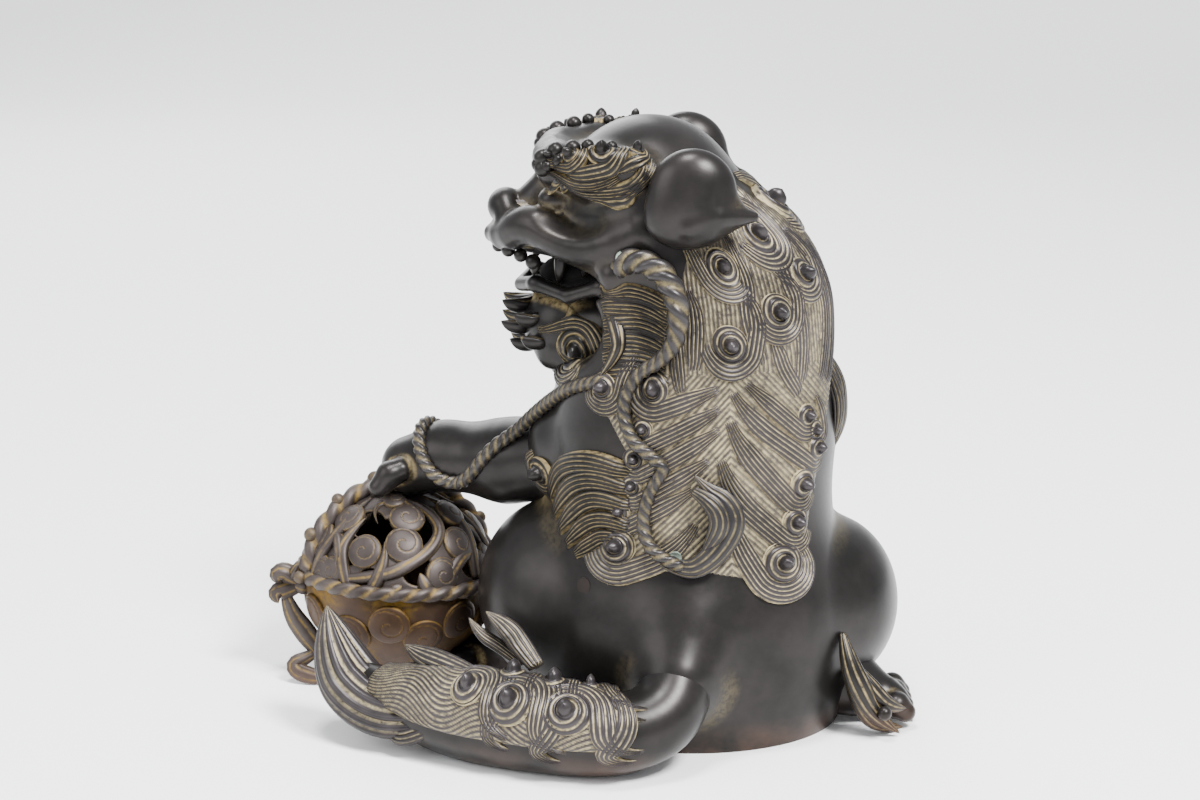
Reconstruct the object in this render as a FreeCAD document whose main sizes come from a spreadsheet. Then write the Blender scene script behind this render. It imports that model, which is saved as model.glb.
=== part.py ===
import FreeCAD, Part

# Guardian lion with a brocade ball: a seated figure in hollow cast bronze, made of sections that are
# cast apart, doweled and soldered together, then chased.
#
# Frame: millimetres, +Z up, origin on the resting face under the middle of the body.  The pelvis
# faces -Y, so the back is towards +Y.  The head is turned to the lion's left, which is +X.
#
# The file runs in this order: the sheet of sizes, small makers of primitives, then one function for
# each group of sections, and last the checks and the STEP files.

import math
import os
from FreeCAD import Placement, Rotation, Vector

doc = FreeCAD.newDocument("guardian_lion")
sheet = doc.addObject("Spreadsheet::Sheet", "sizes")
ALIASES = []

# ---------------------------------------------------------------------------- driving dimensions

SIZES = {
    "wall": 3.5,                # thickness of the cast shells
    "neck_joint": 160.0,        # height of the seam between body and head
    "base_thickness": 3.0,      # plate that closes the casting underneath
    "room": 400.0,              # edge of the trimming boxes, larger than the figure
    "dowel_radius": 4.0,        # dowels that hold the limbs
    "dowel_fit": 0.05,          # radial clearance of every dowel
    "pin_radius": 1.5,          # small pins at the neck, the ears and the jaw
    "plug_radius": 3.2,         # plugs that close the core-support holes
    "cord_radius": 2.5,         # the leash and the chest cord
    "ball_radius": 40.5,
    "ball_wall": 2.5,
    "ball_x": 124.0,
    "ball_y": -47.0,
    "band_radius": 2.4,         # twisted bands round the ball
    "piercing_radius": 5.2,     # openings in the upper half of the ball
}

# Level sections of the trunk from the seat to the crown: centre x, y, height and half-sizes along x, y.
TRUNK = [(0, 3, 0, 61, 51), (0, 3, 15, 66.5, 55.5), (0, 3, 35, 68.5, 57.5), (0, 3, 60, 65, 54.5),
         (0, 1.5, 85, 59, 51), (0, 0, 110, 58, 49.5), (0, 0, 135, 56.5, 48.5), (0, 0, 160, 55, 47),
         (3, 0, 180, 55, 45), (9, 0, 200, 52, 42), (14.5, 0, 215, 45, 38), (17.5, 0, 228, 36.5, 32.5),
         (18, 0, 238, 27.5, 25), (18, 0, 244, 19, 17.5), (18, 0, 248, 8.5, 8)]

# Rounded masses of the figure: centre x, y, z and half-sizes along x, y, z.
MASSES = {
    "left_knee": (56, -18, 44, 32, 34, 38),
    "right_knee": (-55, -8, 44, 31, 36, 36),
    "left_shoulder": (42, -8, 111, 25, 26, 26),
    "right_shoulder": (-36, -20, 116, 24, 26, 28),
    "skull": (34, -2, 203, 40, 36, 36),
    "muzzle": (60, -6, 201, 22, 22, 13),
    "nose": (76, -8, 209, 8, 11, 8),
    "mouth": (56, -5, 184, 30, 17, 9),
    "jaw": (50, -6, 167, 21, 22, 17),
    "jaw_floor": (53, -6, 176, 15, 15, 10),
    "left_ear_leaf": (-1, 42, 223, 20, 7, 20),
    "left_ear_tip": (-17, 43, 217, 9, 4, 7),
    "right_ear_leaf": (-2, -43, 224, 20, 8, 20),
    "right_ear_tip": (-18, -44, 218, 9, 5, 7),
    "left_fore_paw": (119, -44, 90, 15, 14, 11),
    "right_fore_paw": (-24, -78, 9, 14, 19, 9),
    "left_hind_sole": (90, -42, 10, 17, 18, 10),
    "right_hind_sole": (-79, 20, 10, 14, 22, 10),
    "right_hock": (-71, 37, 23, 7, 8, 19),
    "bow_upper": (170, -36, 46, 8, 7, 6),
    "bow_lower": (173, -35, 36, 8, 7, 6),
    "bow_knot": (165, -37, 41, 6, 6, 6),
    "side_tassel_head": (-57, -2, 140, 5, 6, 8),
    "side_tassel_end": (-58, -2, 126, 5, 6, 11),
}

# Round sections along each limb: centre x, y, z and radius, from the body outwards.
LIMBS = {
    "left_foreleg_arm": [(40, -10, 106, 19), (80, -30, 98, 14), (102, -40, 94, 12), (116, -44, 91, 11)],
    "right_foreleg_arm": [(-34, -24, 116, 21), (-40, -50, 86, 18), (-34, -66, 48, 14), (-25, -72, 12, 12)],
    "left_hind_shank": [(54, -22, 17, 17), (70, -32, 14, 14), (86, -40, 10, 10)],
    "right_hind_shank": [(-50, 4, 18, 18), (-64, 14, 15, 15), (-78, 20, 10, 10)],
    "tail_sweep": [(4, 46, 46, 13), (8, 66, 30, 14), (20, 75, 18, 14), (39, 74, 17, 16), (68, 62, 18, 17),
                   (95, 46, 19, 14), (118, 35, 26, 10), (135, 26, 36, 7), (143, 22, 47, 3)],
    "ribbon_fall": [(171, -35, 34, 4), (169, -34, 25, 5), (162, -29, 15, 6), (153, -22, 5, 6)],
    "leash_tassel_skirt": [(-1, 57.5, 83, 3), (-7, 56.5, 89, 6), (-12, 55, 98, 6.5), (-9, 56, 105, 4.5),
                           (-1, 56.5, 111, 1.5)],
}

# Routes of the cords, chosen by hand along the mane and the chest.
CORDS = {
    "lead_cord": [(29, 42, 199), (18, 50, 198.5), (9, 52, 189), (7, 52, 177), (13, 50.5, 166), (22, 49, 155),
                  (26.5, 48, 144), (26, 49, 133), (17, 52.5, 126), (14, 53.5, 118), (18, 52.5, 108),
                  (21.5, 52, 97), (17, 54.5, 87), (8, 57, 82), (-1, 57.5, 83)],
    "chest_cord": [(38, 39, 152), (49, 29, 145), (62, 12, 133), (70, 2, 121), (76, -8, 111), (84, -17, 100),
                   (95, -22, 93), (105, -27, 96)],
}

# Dowels: group, start and end of each.
DOWELS = {
    "limb_dowels": [((44, -12, 105), (84, -32, 97)), ((-34, -30, 112), (-38, -58, 82)),
                    ((60, -26, 15), (84, -39, 11)), ((-54, 7, 15), (-76, 19, 11))],
    "tail_dowel": [((5, 44, 47), (9, 68, 28))],
    "ball_rivet": [((120, -45, 74), (119, -44, 90))],
}
PINS = {
    "ear_pins": [((4, 30, 218), (0, 42, 222)), ((4, -32, 218), (0, -44, 222))],
    "jaw_pins": [((28, -2, 170), (40, -5, 170)), ((28, -10, 166), (40, -11, 166))],
    "neck_pins": [((0, 40, 157), (0, 40, 163)), ((0, -41, 157), (0, -41, 163)),
                  ((-48, 0, 157), (-48, 0, 163)), ((46, 0, 157), (46, 0, 163))],
}
PLUGS = [((-34, 44, 38), (-39, 56, 38)), ((42, 38, 66), (50, 50, 66)), ((-18, -42, 62), (-20, -56, 62))]
BAND_NORMAL = (0.435, -0.89, -0.12)     # plane of the band that climbs the ball
PIERCING_ROWS = ((27, 10), (55, 6), (90, 1))    # elevation in degrees and number of openings
PIERCING_REACH = 1.2  # length of each piercing rod over the ball's radius
PADS = [((29, 37, 199), (29, 41, 199)), ((9, 45, 172), (9.5, 49.5, 172)), ((8, 51, 82), (8, 55, 82))]


def put(alias, value):
    """Writes one number into the sheet under its own name."""
    ALIASES.append(alias)
    row = len(ALIASES)
    sheet.set(f"A{row}", alias)
    sheet.set(f"B{row}", str(value))
    sheet.setAlias(f"B{row}", alias)


def size(alias):
    """A number read back from the sheet."""
    return float(sheet.get(alias))


def fill_sheet():
    """All driving dimensions, one row each."""
    for alias, value in SIZES.items():
        put(alias, value)
    for name, row in MASSES.items():
        for axis, value in zip(("x", "y", "z", "half_x", "half_y", "half_z"), row):
            put(f"{name}_{axis}", value)
    for place, row in enumerate(TRUNK):
        for axis, value in zip(("x", "y", "z", "half_x", "half_y"), row):
            put(f"trunk_{place}_{axis}", value)
    for name, stations in LIMBS.items():
        for place, row in enumerate(stations):
            for axis, value in zip(("x", "y", "z", "radius"), row):
                put(f"{name}_{place}_{axis}", value)
    doc.recompute()


# ----------------------------------------------------------------------------- makers of pieces

def bind_place(piece, stem):
    """Ties a piece's base point to the sheet's stem_x, stem_y and stem_z."""
    for axis in "xyz":
        piece.setExpression(f"Placement.Base.{axis}", f"sizes.{stem}_{axis}")


def mass(name, shrink=""):
    """An ellipsoid of the table; shrink is what comes off each half-size, as an expression."""
    piece = doc.addObject("Part::Ellipsoid", f"{name}_{'core' if shrink else 'mass'}")
    for prop, axis in (("Radius1", "z"), ("Radius2", "x"), ("Radius3", "y")):
        piece.setExpression(prop, f"sizes.{name}_half_{axis}{shrink}")
    bind_place(piece, name)
    return piece


def masses(names, shrink=""):
    """Several ellipsoids of the table."""
    return [mass(name, shrink) for name in names]


def fuse(name, pieces):
    """One solid made of several; a single piece stays as it is."""
    if len(pieces) == 1:
        return pieces[0]
    whole = doc.addObject("Part::MultiFuse", name)
    whole.Shapes = pieces
    return whole


def cut(name, base, tool):
    """The base without the tool."""
    rest = doc.addObject("Part::Cut", name)
    rest.Base = base
    rest.Tool = tool
    return rest


def common(name, base, tool):
    """What two solids share."""
    both = doc.addObject("Part::Common", name)
    both.Base = base
    both.Tool = tool
    return both


def slab(name, low, high):
    """A box as wide as the room between two heights, each an expression."""
    box = doc.addObject("Part::Box", name)
    for prop in ("Length", "Width"):
        box.setExpression(prop, "sizes.room")
    box.setExpression("Height", f"({high}) - ({low})")
    for axis in "xy":
        box.setExpression(f"Placement.Base.{axis}", "-sizes.room / 2")
    box.setExpression("Placement.Base.z", low)
    return box


def rod(name, start, end, radius):
    """A cylinder between two points; the radius is an expression."""
    first, last = Vector(*start), Vector(*end)
    piece = doc.addObject("Part::Cylinder", name)
    piece.setExpression("Radius", radius)
    piece.Height = (last - first).Length
    piece.Placement = Placement(first, Rotation(Vector(0, 0, 1), last - first))
    return piece


def trunk(name, shrink="", dropped=0):
    """A loft through the trunk's level sections; the hollow one shrinks them and drops the highest."""
    rings = []
    for place in range(len(TRUNK) - dropped):
        ring = doc.addObject("Part::Ellipse", f"{name}_ring_{place}")
        ring.setExpression("MajorRadius", f"sizes.trunk_{place}_half_x{shrink}")
        ring.setExpression("MinorRadius", f"sizes.trunk_{place}_half_y{shrink}")
        bind_place(ring, f"trunk_{place}")
        rings.append(ring)
    return loft(name, rings)


def loft(name, rings):
    """A closed solid through a row of sections."""
    solid = doc.addObject("Part::Loft", name)
    solid.Sections = rings
    solid.Solid = True
    return solid


def limb(name):
    """A loft through the round sections of a limb, each square to the limb's run."""
    rows = LIMBS[name]
    centres = [Vector(*row[:3]) for row in rows]
    rings = []
    for place, centre in enumerate(centres):
        ahead = centres[min(place + 1, len(rows) - 1)]
        behind = centres[max(place - 1, 0)]
        ring = doc.addObject("Part::Circle", f"{name}_ring_{place}")
        ring.Placement = Placement(centre, Rotation(Vector(0, 0, 1), ahead - behind))
        ring.setExpression("Radius", f"sizes.{name}_{place}_radius")
        bind_place(ring, f"{name}_{place}")
        rings.append(ring)
    return loft(f"{name}_loft", rings)


def rounded_route(points):
    """Straight runs joined by tangent arcs, each as large as its two runs allow."""
    corners = [Vector(*point) for point in points]
    edges = []
    radii = []
    reached = corners[0]
    for before, corner, after in zip(corners, corners[1:], corners[2:]):
        arriving = (corner - before).normalize()
        leaving = (after - corner).normalize()
        half_turn = arriving.getAngle(leaving) / 2
        setback = 0.45 * min((corner - before).Length, (after - corner).Length)
        radius = setback / math.tan(half_turn)
        start = corner - arriving * setback
        end = corner + leaving * setback
        centre = corner + (leaving - arriving).normalize() * (radius / math.cos(half_turn))
        middle = centre + (corner - centre).normalize() * radius
        edges.append(Part.LineSegment(reached, start).toShape())
        edges.append(Part.Arc(start, middle, end).toShape())
        radii.append(round(radius, 1))
        reached = end
    edges.append(Part.LineSegment(reached, corners[-1]).toShape())
    return Part.Wire(edges), radii


def cord(name):
    """A round tube along a cord's route."""
    wire, radii = rounded_route(CORDS[name])
    print(f"{name}: length {wire.Length:.0f} mm, bend radii {radii}")
    route = doc.addObject("Part::Feature", f"{name}_route")
    route.Shape = wire
    start = Vector(*CORDS[name][0])
    ring = doc.addObject("Part::Circle", f"{name}_ring")
    ring.Placement = Placement(start, Rotation(Vector(0, 0, 1), Vector(*CORDS[name][1]) - start))
    ring.setExpression("Radius", "sizes.cord_radius")
    sweep = doc.addObject("Part::Sweep", f"{name}_tube")
    sweep.Sections = [ring]
    sweep.Spine = (route, [f"Edge{place + 1}" for place in range(len(wire.Edges))])
    sweep.Solid = True
    return sweep


def group(name, pieces):
    """Separate solids kept together in one node."""
    bundle = doc.addObject("Part::Compound", name)
    bundle.Links = pieces
    return bundle


def rods(name, rows, radius):
    """A group of cylinders with one radius."""
    return group(name, [rod(f"{name}_{place}", *row, radius) for place, row in enumerate(rows)])


# ---------------------------------------------------------------------------------- the sections

NODES = {}
HOLE = "sizes.dowel_radius + sizes.dowel_fit"
PIN_HOLE = "sizes.pin_radius + sizes.dowel_fit"
INSET = " - sizes.wall"
BODY_MASSES = ["left_knee", "right_knee", "left_shoulder", "right_shoulder"]
HEAD_MASSES = ["skull", "muzzle", "nose"]
CROWN_SECTIONS = 2              # highest sections, where the crown is cast thicker


def keep(name, blank, *neighbours):
    """Makes a node of a blank by cutting away each neighbour in turn."""
    rest = blank
    for place, neighbour in enumerate(neighbours):
        last = place == len(neighbours) - 1
        rest = cut(name if last else f"{name}_trim_{place}", rest, neighbour)
    NODES[name] = rest
    return rest


def trimmed(name, pieces, low, high="sizes.room"):
    """Masses fused and kept between two heights."""
    return common(name, fuse(f"{name}_full", pieces), slab(f"{name}_span", low, high))


def make_fixings(body_outside):
    """Dowels, pins and plugs as nodes; returns one solid with all the holes they need."""
    holes = []
    for table, radius, hole in ((DOWELS, "sizes.dowel_radius", HOLE), (PINS, "sizes.pin_radius", PIN_HOLE)):
        for name, rows in table.items():
            NODES[name] = rods(name, rows, radius)
            holes.append(rods(f"{name}_holes", rows, hole))
    holes.append(rods("core_plug_holes", PLUGS, "sizes.plug_radius"))
    plug_rods = rods("core_plug_rods", PLUGS, "sizes.plug_radius")
    NODES["core_plugs"] = common("core_plugs", plug_rods, body_outside)
    return fuse("fixing_holes", holes)


def make_trunk():
    """Body and head shells, the plate under the body, and the outside that all others butt against."""
    full = trunk("trunk_outside")
    inner = trunk("trunk_hollow", INSET, CROWN_SECTIONS)
    body_outside = trimmed("body_outside", [full] + masses(BODY_MASSES), "0", "sizes.neck_joint")
    body_hollow = trimmed("body_hollow", [inner] + masses(BODY_MASSES, INSET), "0", "sizes.neck_joint")
    head_outside = trimmed("head_outside", [full] + masses(HEAD_MASSES), "sizes.neck_joint")
    head_hollow = trimmed("head_hollow", [inner] + masses(HEAD_MASSES, INSET), "sizes.neck_joint")
    holes = make_fixings(body_outside)
    mouth = mass("mouth")
    keep("body_shell", body_outside, body_hollow, mouth, holes)
    keep("head_shell", head_outside, head_hollow, mouth, holes)
    NODES["base_plate"] = common("base_plate", body_hollow, slab("plate_span", "0", "sizes.base_thickness"))
    return fuse("figure_outside", [body_outside, head_outside]), mouth, holes


def make_head_parts(figure, mouth, holes):
    """Lower jaw with its hollow floor, and two leaf-shaped ears."""
    jaw = cut("jaw_blank", mass("jaw"), mass("jaw_floor"))
    keep("lower_jaw", jaw, figure, mouth, holes)
    for side in ("left", "right"):
        ear = fuse(f"{side}_ear_blank", masses([f"{side}_ear_leaf", f"{side}_ear_tip"]))
        keep(f"{side}_ear", ear, figure, holes)


def make_ball(figure, holes):
    """Two thin shells, the upper one pierced, under a twisted band round the middle and one over the top."""
    def at_centre(piece):
        for axis in "xy":
            piece.setExpression(f"Placement.Base.{axis}", f"sizes.ball_{axis}")
        piece.setExpression("Placement.Base.z", "sizes.ball_radius")
        return piece

    def sphere(name, radius):
        ball = doc.addObject("Part::Sphere", name)
        ball.setExpression("Radius", radius)
        return at_centre(ball)

    def band(name, normal):
        ring = doc.addObject("Part::Torus", name)
        ring.setExpression("Radius1", "sizes.ball_radius")
        ring.setExpression("Radius2", "sizes.band_radius")
        ring.Placement = Placement(Vector(), Rotation(Vector(0, 0, 1), normal))
        return at_centre(ring)

    full = sphere("ball_full", "sizes.ball_radius")
    skin = cut("ball_skin", full, sphere("ball_hollow", "sizes.ball_radius - sizes.ball_wall"))
    equator = band("ball_equator_blank", Vector(0, 0, 1))
    meridian = band("ball_meridian_blank", Vector(*BAND_NORMAL))
    centre = Vector(size("ball_x"), size("ball_y"), size("ball_radius"))
    piercings = []
    for rise, count in PIERCING_ROWS:
        for step in range(count):
            turn = math.radians(360 * (step + 0.5) / count)
            level = math.cos(math.radians(rise))
            way = Vector(level * math.cos(turn), level * math.sin(turn), math.sin(math.radians(rise)))
            end = centre + way * size("ball_radius") * PIERCING_REACH
            piercings.append(rod(f"piercing_{rise}_{step}", centre, end, "sizes.piercing_radius"))
    above = slab("ball_upper_span", "sizes.ball_radius", "sizes.room")
    upper = common("ball_upper_blank", skin, above)
    lower = common("ball_lower_blank", skin, slab("ball_lower_span", "0", "sizes.ball_radius"))
    bands = fuse("ball_bands", [equator, meridian])
    keep("ball_upper_shell", upper, fuse("ball_piercings", piercings), bands, holes)
    keep("ball_lower_shell", lower, bands, figure)
    keep("ball_equator_cord", equator, figure)
    keep("ball_meridian_cord", common("ball_meridian_above", meridian, above), equator, holes)
    return fuse("ball_outside", [full, bands])


def make_limbs(figure, ball, holes):
    """Forelegs, hind feet and tail, butted against the body, the ball and the ground."""
    left = trimmed("left_foreleg_blank", [limb("left_foreleg_arm"), mass("left_fore_paw")], "0")
    keep("left_foreleg", left, figure, ball, holes)
    right = trimmed("right_foreleg_blank", [limb("right_foreleg_arm"), mass("right_fore_paw")], "0")
    keep("right_foreleg", right, figure, holes)
    left_foot = trimmed("left_hind_blank", [limb("left_hind_shank"), mass("left_hind_sole")], "0")
    keep("left_hind_foot", left_foot, figure, ball, holes)
    right_foot_pieces = [limb("right_hind_shank")] + masses(["right_hind_sole", "right_hock"])
    right_foot = trimmed("right_hind_blank", right_foot_pieces, "0")
    keep("right_hind_foot", right_foot, figure, holes)
    tail = trimmed("tail_blank", [limb("tail_sweep")], "0")
    keep("tail", tail, figure, ball, holes)


def make_trimmings(figure, ball):
    """Bow and ribbon of the ball, the leash with its tassel, the chest cord and the side tassel."""
    bow = fuse("ball_bow_blank", masses(["bow_upper", "bow_lower", "bow_knot"]))
    keep("ball_bow", bow, ball)
    ribbon = trimmed("ball_ribbon_blank", [limb("ribbon_fall")], "0")
    keep("ball_ribbon", ribbon, ball, bow)
    tassel = limb("leash_tassel_skirt")
    keep("lead_tassel", tassel, figure)
    pads = rods("solder_pad_rods", PADS, "sizes.cord_radius")
    lead = cord("lead_cord")
    keep("lead_cord", lead, figure, tassel)
    keep("solder_pads", pads, figure, lead, tassel)
    keep("chest_cord", cord("chest_cord"), figure, NODES["left_foreleg"])
    side = fuse("side_tassel_blank", masses(["side_tassel_head", "side_tassel_end"]))
    keep("side_tassel", side, figure)


# -------------------------------------------------------------------------- checks and STEP files

def check_document():
    """Stops if any object failed or any node has no valid solid."""
    for item in doc.Objects:
        if "Invalid" in item.State or "Error" in item.State:
            raise RuntimeError(f"{item.Name} is {item.State}")
    for name, item in NODES.items():
        if item.Shape.isNull() or not item.Shape.isValid() or not item.Shape.Solids:
            raise RuntimeError(f"{name} has no valid solid")


def write_nodes():
    """Gives each node its label and writes its STEP file."""
    os.makedirs("parts", exist_ok=True)
    for name, item in NODES.items():
        item.Label = name
        item.Shape.exportStep(f"parts/{name}.step")
        print(f"{name}: {len(item.Shape.Solids)} solids, {item.Shape.Volume / 1000:.1f} cm3")


fill_sheet()
figure_outside, mouth_hollow, fixing_holes = make_trunk()
make_head_parts(figure_outside, mouth_hollow, fixing_holes)
ball_outside = make_ball(figure_outside, fixing_holes)
make_limbs(figure_outside, ball_outside, fixing_holes)
make_trimmings(figure_outside, ball_outside)
doc.recompute()
check_document()
write_nodes()
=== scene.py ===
# Looks of a seated guardian lion in cast bronze, with a brocade ball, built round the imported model.
# Shapes are worked out in millimetres in the row frame and turned to metres when a mesh is made:
# +Z is up, +Y is the figure's back, and +X is its left, where the head looks and the ball lies.

import logging
import math
from collections.abc import Callable, Sequence
from dataclasses import dataclass
from enum import Enum

import bmesh
import bpy
import numpy as np
import openvdb
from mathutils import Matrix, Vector

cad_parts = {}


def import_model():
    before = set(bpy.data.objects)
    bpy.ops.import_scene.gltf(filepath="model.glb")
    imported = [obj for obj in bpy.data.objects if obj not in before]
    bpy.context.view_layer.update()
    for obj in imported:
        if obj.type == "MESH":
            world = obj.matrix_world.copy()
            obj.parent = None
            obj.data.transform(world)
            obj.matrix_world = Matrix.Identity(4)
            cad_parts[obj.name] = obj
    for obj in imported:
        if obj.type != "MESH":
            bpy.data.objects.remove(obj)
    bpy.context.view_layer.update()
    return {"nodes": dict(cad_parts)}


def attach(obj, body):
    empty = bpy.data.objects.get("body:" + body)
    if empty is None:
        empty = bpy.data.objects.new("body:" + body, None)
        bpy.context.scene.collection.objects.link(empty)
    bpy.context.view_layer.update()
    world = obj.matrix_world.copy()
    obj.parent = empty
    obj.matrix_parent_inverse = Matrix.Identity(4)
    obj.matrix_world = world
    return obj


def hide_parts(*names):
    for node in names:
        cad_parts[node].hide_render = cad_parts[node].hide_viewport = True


LOG = logging.getLogger("guardian_lion")
MM = 0.001
HEAD_Y = -4  # the upright plane in which the two sides of the head mirror each other
ROOT = "root"
WELD = 0.002  # vertices nearer than this are one
Array = np.ndarray
Field = Callable[[Array], Array]
Point = tuple[float, float, float]
Spot = tuple[float, float]


# ------------------------------------------------------------------------------- distance fields

def ellipsoid(p: Array, centre: Point, half: Point) -> Array:
    """Near distance to an ellipsoid: the scaled radius k0 less one, times k0 over its slope k1.

    Args:
        p: points, any shape with a last axis of 3.
        centre: middle of the ellipsoid.
        half: half-sizes along x, y and z.

    Returns:
        Distance of each point, negative inside.
    """
    q = p - np.asarray(centre, np.float32)
    r = np.asarray(half, np.float32)
    k0 = np.sqrt(((q / r) ** 2).sum(-1))
    k1 = np.sqrt(((q / r**2) ** 2).sum(-1))
    return k0 * (k0 - 1) / np.maximum(k1, 1e-6)


def capsule(p: Array, start: Point, end: Point, r0: float, r1: float) -> Array:
    """Distance to a bar whose radius runs evenly from r0 at the start to r1 at the end.

    Args:
        p: points.
        start: first end.
        end: second end.
        r0: radius at the first end.
        r1: radius at the second end.

    Returns:
        Distance of each point, negative inside.
    """
    a, b = np.asarray(start, np.float32), np.asarray(end, np.float32)
    along = np.clip(((p - a) @ (b - a)) / ((b - a) @ (b - a)), 0, 1)
    gap = p - a - along[..., None] * (b - a)
    return np.sqrt((gap**2).sum(-1)) - (r0 + along * (r1 - r0))


def blend(a: Array, b: Array, k: float) -> Array:
    """Union of two fields with a fillet: the smaller one, less a parabola where they are within k."""
    h = np.maximum(k - np.abs(a - b), 0) / k
    return np.minimum(a, b) - h * h * k / 4


def carve(a: Array, b: Array, k: float) -> Array:
    """Field a without b, with a fillet of size k along the cut."""
    return -blend(-a, b, k)


def chain(p: Array, joints: Sequence[tuple[Point, float]], k: float = 4) -> Array:
    """Capsules from joint to joint, each joint a point and a radius, blended by k."""
    field = None
    for (start, r0), (end, r1) in zip(joints[:-1], joints[1:]):
        part = capsule(p, start, end, r0, r1)
        field = part if field is None else blend(field, part, k)
    return field


def both_sides(p: Array, middle: float) -> Array:
    """Points folded over to the near side of the upright plane y = middle."""
    folded = p.copy()
    folded[..., 1] = middle + np.abs(p[..., 1] - middle)
    return folded


def unit(v: Array) -> Array:
    """Vectors made one long."""
    return v / np.maximum(np.linalg.norm(v, axis=-1, keepdims=True), 1e-9)


def sphere(lon: Array, lat: Array) -> Array:
    """Unit directions at longitudes and latitudes in radians."""
    return np.stack([np.cos(lat) * np.cos(lon), np.cos(lat) * np.sin(lon), np.sin(lat) * np.ones_like(lon)],
                    -1)


def slopes(field: Field, p: Array, step: float = 0.4) -> Array:
    """Unit outward normals: the field's central differences, made one long."""
    parts = []
    for axis in range(3):
        shift = np.zeros(3, np.float32)
        shift[axis] = step
        parts.append(field(p + shift) - field(p - shift))
    return unit(np.stack(parts, -1))


# ---------------------------------------------------------------------------------------- meshes

class MeshParts:
    """Vertices, quads and the dust value of each vertex, gathered until they become one piece."""

    def __init__(self) -> None:
        """Starts empty."""
        self.points: list[Array] = []
        self.quads: list[Array] = []
        self.dust: list[Array] = []
        self.count = 0

    def add(self, points: Array, quads: Array, dust: Array) -> None:
        """Adds loose vertices and faces that index them."""
        self.points.append(points.reshape(-1, 3))
        self.quads.append(quads + self.count)
        self.dust.append(dust.reshape(-1))
        self.count += self.points[-1].shape[0]

    def add_grid(self, points: Array, dust: Array, wrap: bool = False, out: Array | None = None) -> None:
        """Adds a grid of rows and columns, with its faces turned outward.

        Args:
            points: rows by columns by 3.
            dust: rows by columns.
            wrap: joins the last column to the first.
            out: outward direction at each point; a closed grid needs none, as its volume tells.
        """
        rows, cols = points.shape[:2]
        i, j = np.meshgrid(np.arange(rows - 1), np.arange(cols if wrap else cols - 1), indexing="ij")
        nxt = (j + 1) % cols
        corners = [i * cols + j, i * cols + nxt, (i + 1) * cols + nxt, (i + 1) * cols + j]
        quads = np.stack(corners, -1).reshape(-1, 4)
        flat = points.reshape(-1, 3)
        a, b, c, d = (flat[quads[:, k]] for k in range(4))
        if out is None:
            way = a - flat.mean(0)
        else:
            way = np.broadcast_to(out, points.shape).reshape(-1, 3)[quads[:, 0]]
        if (np.cross(c - a, d - b) * way).sum() < 0:
            quads = quads[:, ::-1]
        self.add(points, quads, dust)

    def build(self, name: str) -> bpy.types.Object:
        """Makes one smooth mesh object at the origin, its poles and seams welded and its faces outward.

        Args:
            name: the piece's name.

        Returns:
            The object, linked to the scene.
        """
        points = np.concatenate(self.points).astype(np.float32) * MM
        quads = np.concatenate(self.quads).astype(np.int32)
        mesh = bpy.data.meshes.new(name)
        mesh.vertices.add(len(points))
        mesh.vertices.foreach_set("co", points.ravel())
        mesh.loops.add(quads.size)
        mesh.loops.foreach_set("vertex_index", quads.ravel())
        mesh.polygons.add(len(quads))
        mesh.polygons.foreach_set("loop_start", np.arange(0, quads.size, 4, dtype=np.int32))
        mesh.update(calc_edges=True)
        mesh.validate()
        layer = mesh.attributes.new("dust", "FLOAT", "POINT")
        layer.data.foreach_set("value", np.concatenate(self.dust).astype(np.float32))
        work = bmesh.new()
        work.from_mesh(mesh)
        bmesh.ops.remove_doubles(work, verts=work.verts, dist=WELD * MM)
        work.to_mesh(mesh)
        work.free()
        mesh.shade_smooth()
        piece = bpy.data.objects.new(name, mesh)
        bpy.context.collection.objects.link(piece)
        LOG.info("%s: %d quads", name, len(quads))
        return piece


def weighted_curve(points: Array, samples: int) -> Array:
    """A clamped quadratic B-spline through the span of its control points.

    Args:
        points: control points, any width.
        samples: how many points to return.

    Returns:
        Points at even parameter steps, from the first control point to the last.
    """
    ctrl = np.asarray(points, float)
    mids = (ctrl[:-1] + ctrl[1:]) / 2
    mids[0], mids[-1] = ctrl[0], ctrl[-1]
    if len(ctrl) == 2:
        steps = np.linspace(0, 1, samples)[:, None]
        return ctrl[0] * (1 - steps) + ctrl[1] * steps
    u = np.linspace(0, len(ctrl) - 2, samples)
    span = np.minimum(u.astype(int), len(ctrl) - 3)
    f = (u - span)[:, None]
    return mids[span] * (1 - f) ** 2 + ctrl[span + 1] * 2 * f * (1 - f) + mids[span + 1] * f**2


def even_curve(points: Array, pitch: float) -> Array:
    """The same curve with points about pitch apart, measured on the first three columns or fewer."""
    fine = weighted_curve(points, 400)
    reach = min(3, fine.shape[1])
    steps = np.linalg.norm(np.diff(fine[:, :reach], axis=0), axis=1)
    length = np.concatenate([[0], np.cumsum(steps)])
    count = max(int(length[-1] / pitch) + 1, 6)
    want = np.linspace(0, length[-1], count)
    return np.stack([np.interp(want, length, fine[:, k]) for k in range(fine.shape[1])], -1)


def frames_along(path: Array, up: Array) -> tuple[Array, Array, Array]:
    """Tangent, side and lift directions along a path.

    Args:
        path: points of the path.
        up: direction, or one for each point, that the lift leans to.

    Returns:
        Tangents; sides, which are tangent cross up; and lifts, which are side cross tangent.
    """
    tangent = unit(np.gradient(path, axis=0))
    side = unit(np.cross(tangent, np.broadcast_to(up, tangent.shape)))
    return tangent, side, np.cross(side, tangent)


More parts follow.
